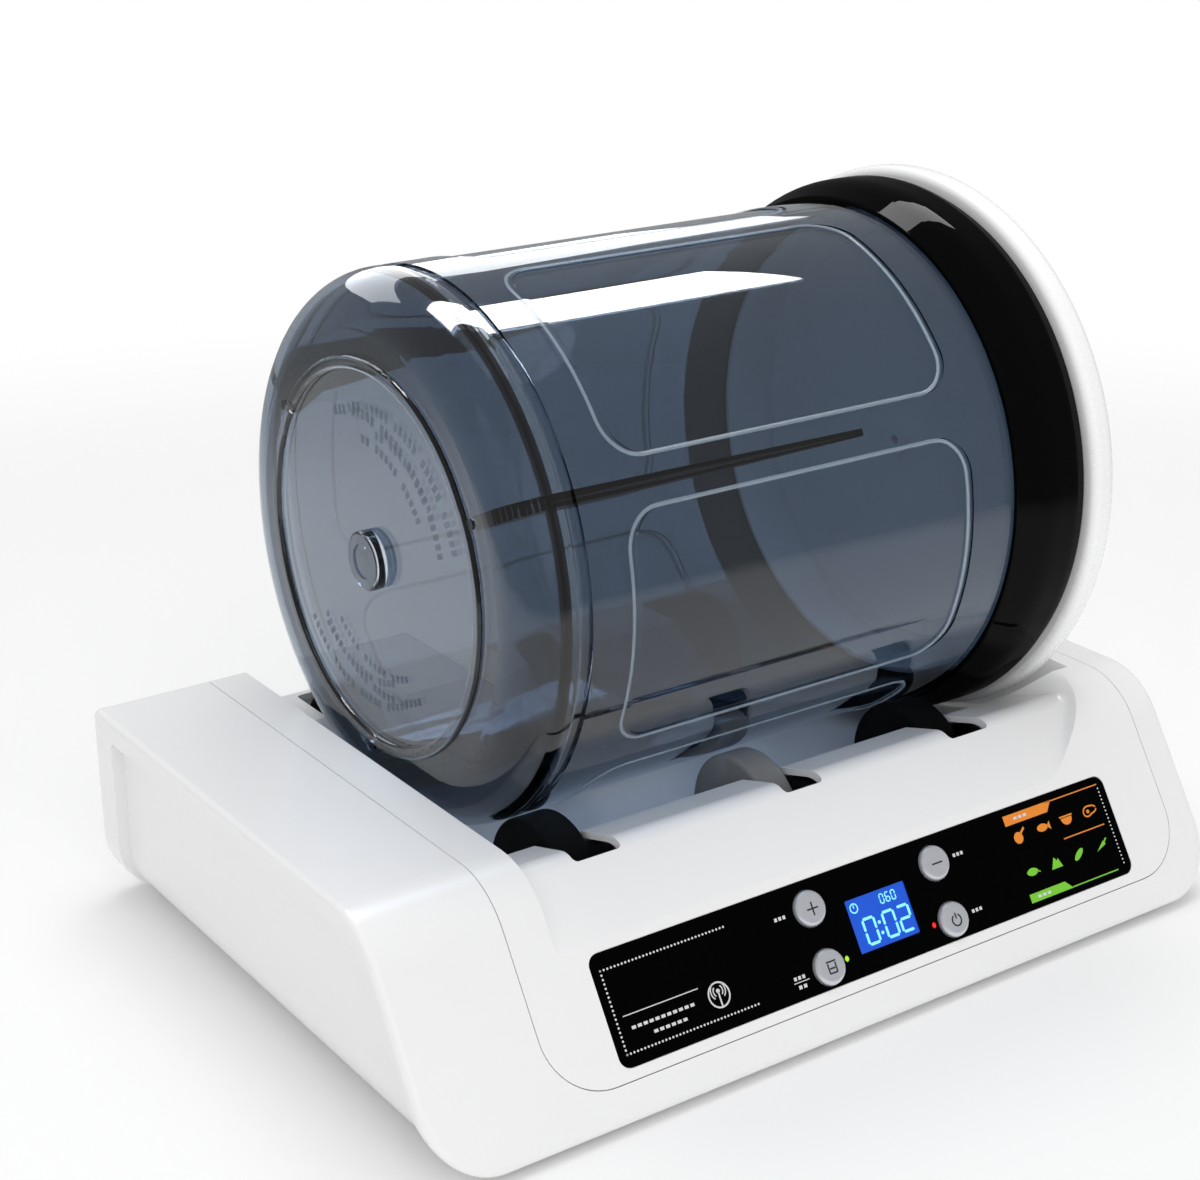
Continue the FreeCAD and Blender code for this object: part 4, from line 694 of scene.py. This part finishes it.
# on the barrel: axis + up * sqrt(r^2 - v^2) + across * v, where up leans at the panel's angle
def panelRibs(r):
    x0 = drumEnd / mm + r["start"]
    loop = roundedLoop(x0, x0 + r["long"], r["wide"] / 2, r)
    ahead = np.roll(loop, -1, 0) - np.roll(loop, 1, 0)
    ahead /= np.linalg.norm(ahead, axis=1)[:, None]
    side = np.column_stack([ahead[:, 1], -ahead[:, 0]]) * r["width"] / 2
    corners = ((side, r["rise"]), (-side, r["rise"]), (-side, -r["depth"]), (side, -r["depth"]))
    verts, faces, count = [], [], len(loop)
    here = np.arange(count)
    after = np.roll(here, -1)
    for k in range(r["count"]):
        lean = math.radians(r["phase"] + 360 * k / r["count"])
        up = np.array([-math.cos(lean), math.sin(lean)])
        across = np.array([math.sin(lean), math.cos(lean)])
        for shift, lift in corners:
            spot = loop + shift
            high = np.sqrt((r["radius"] + lift) ** 2 - spot[:, 1] ** 2)
            yz = high[:, None] * up + spot[:, 1:] * across
            verts.append(np.column_stack([spot[:, 0], drumMiddle[1:] / mm + yz]) * mm)
        for i in range(4):
            a, b = (4 * k + i) * count, (4 * k + (i + 1) % 4) * count
            faces.append(np.column_stack([a + here, a + after, b + after, b + here]))
    return np.vstack(verts), np.vstack(faces).tolist()


addPiece("panelRibs", *panelRibs(rib), edgeHighlightPaint, "drum", "smoky_clear", smooth=True)
print("barrel panels edged")

# camera: place in mm, turns in degrees
camera = {"place": (-493.05, -668.86, 445.0), "heading": 34.94, "down": 20.79, "roll": -0.22,
          "lens": 68.44, "sensor": 36.0, "near": 0.01, "far": 50.0}

# lamps: a strip that only shines in glossy surfaces, soft lamps that only light matt ones, and one for the drum
lamps = {"strip": {"place": (0.36, 0.59, 1.555), "aim": (0.36, 0.59, 0.0), "size": (1.58, 0.44), "power": 29.0,
                   "diffuse": False},
         "top": {"place": (0.2, 0.3, 1.6), "aim": (0.0, 0.0, 0.1), "size": (1.2, 1.2), "power": 11.0,
                 "diffuse": True},
         "key": {"place": (-0.6, -1.7, 0.95), "aim": (0.0, 0.0, 0.1), "size": (1.5, 1.5), "power": 10.5,
                 "diffuse": True},
         "side": {"place": (-1.8, -0.5, 0.9), "aim": (0.0, 0.0, 0.1), "size": (1.2, 1.2), "power": 4.0,
                  "diffuse": True},
         "rear": {"place": (0.3, 2.3, 1.25), "aim": (0.0, 0.0, 0.2), "size": (3.2, 1.0), "power": 26.0,
                  "diffuse": False, "only": ["drum_body"]}}
surround = {"ambient": 0.6, "reflected": 0.33, "white": 1.0}


def addCamera(c):
    data = bpy.data.cameras.new("camera")
    data.sensor_fit = "HORIZONTAL"
    data.sensor_width = c["sensor"]
    data.lens = c["lens"]
    data.clip_start, data.clip_end = c["near"], c["far"]
    heading, down, roll = (math.radians(c[k]) for k in ("heading", "down", "roll"))
    ahead = np.array([math.sin(heading) * math.cos(down), math.cos(heading) * math.cos(down), -math.sin(down)])
    right = np.array([math.cos(heading), -math.sin(heading), 0.0])
    up = np.cross(right, ahead)
    turned = right * math.cos(roll) + up * math.sin(roll)
    upright = up * math.cos(roll) - right * math.sin(roll)
    matrix = np.eye(4)
    matrix[:3, 0], matrix[:3, 1], matrix[:3, 2] = turned, upright, -ahead
    matrix[:3, 3] = np.array(c["place"]) * mm
    made = bpy.data.objects.new("camera", data)
    made.matrix_world = Matrix(matrix.tolist())
    scene.collection.objects.link(made)
    scene.camera = made


def addLamp(name, lamp):
    data = bpy.data.lights.new(name, "AREA")
    data.shape = "RECTANGLE"
    data.size, data.size_y = lamp["size"]
    data.energy = lamp["power"]
    made = bpy.data.objects.new(name, data)
    place = np.array(lamp["place"])
    back = place - np.array(lamp["aim"])
    back /= np.linalg.norm(back)
    side = np.cross((0.0, 1.0, 0.0), back)
    side /= np.linalg.norm(side)
    matrix = np.eye(4)
    matrix[:3, 0], matrix[:3, 1], matrix[:3, 2] = side, np.cross(back, side), back
    matrix[:3, 3] = place
    made.matrix_world = Matrix(matrix.tolist())
    made.visible_diffuse = lamp["diffuse"]
    made.visible_glossy = not lamp["diffuse"]
    made.visible_camera = False
    if "only" in lamp:   # it lights these nodes alone
        lit = bpy.data.collections.new(name + "Lit")
        for node in lamp["only"]:
            lit.objects.link(nodes[node])
        made.light_linking.receiver_collection = lit
    scene.collection.objects.link(made)


addCamera(camera)
for name, lamp in lamps.items():
    addLamp(name, lamp)

# white for the camera and through clear plastic, darker in reflections and for soft light
world = Graph("studio", world=True)
rays = world.add("ShaderNodeLightPath", {}, {})
glossy = world.out(rays, "Is Glossy Ray")
seen = world.out(rays, "Is Camera Ray").math("MAXIMUM", world.out(rays, "Is Transmission Ray"))
shaded = glossy * surround["reflected"] + (1.0 - glossy) * surround["ambient"]
level = seen * surround["white"] + (1.0 - seen) * shaded
backdrop = world.add("ShaderNodeBackground", {}, {"Color": (1.0, 1.0, 1.0), "Strength": level})
world.feed(world.output.inputs["Surface"], backdrop.outputs[0])
scene.world = world.material

# floor: a wide pale disc that fades out into the white surround
floorSize = {"radius": 1.1, "corners": 96, "fadeFrom": 0.55, "fadeTo": 1.0, "colour": (0.92, 0.92, 0.92)}
floorEdge = disc(0.0, 0.0, floorSize["radius"], floorSize["corners"])
floorVerts = np.column_stack([floorEdge, np.zeros(floorSize["corners"])])
g = Graph("floorPaper")
r = g.out(g.add("ShaderNodeVectorMath", {"operation": "LENGTH"}, {0: g.place()}), "Value")
g.set(colour=floorSize["colour"], roughness=0.9, specular=0.1,
      alpha=1.0 - r.ramp(floorSize["fadeFrom"], floorSize["fadeTo"]))
mesh = bpy.data.meshes.new("floor")
mesh.from_pydata(floorVerts.tolist(), [], [tuple(range(floorSize["corners"]))])
mesh.materials.append(g.material)
floor = bpy.data.objects.new("floor", mesh)
scene.collection.objects.link(floor)

scene.view_settings.view_transform = "Standard"
print("camera, lamps and floor set")
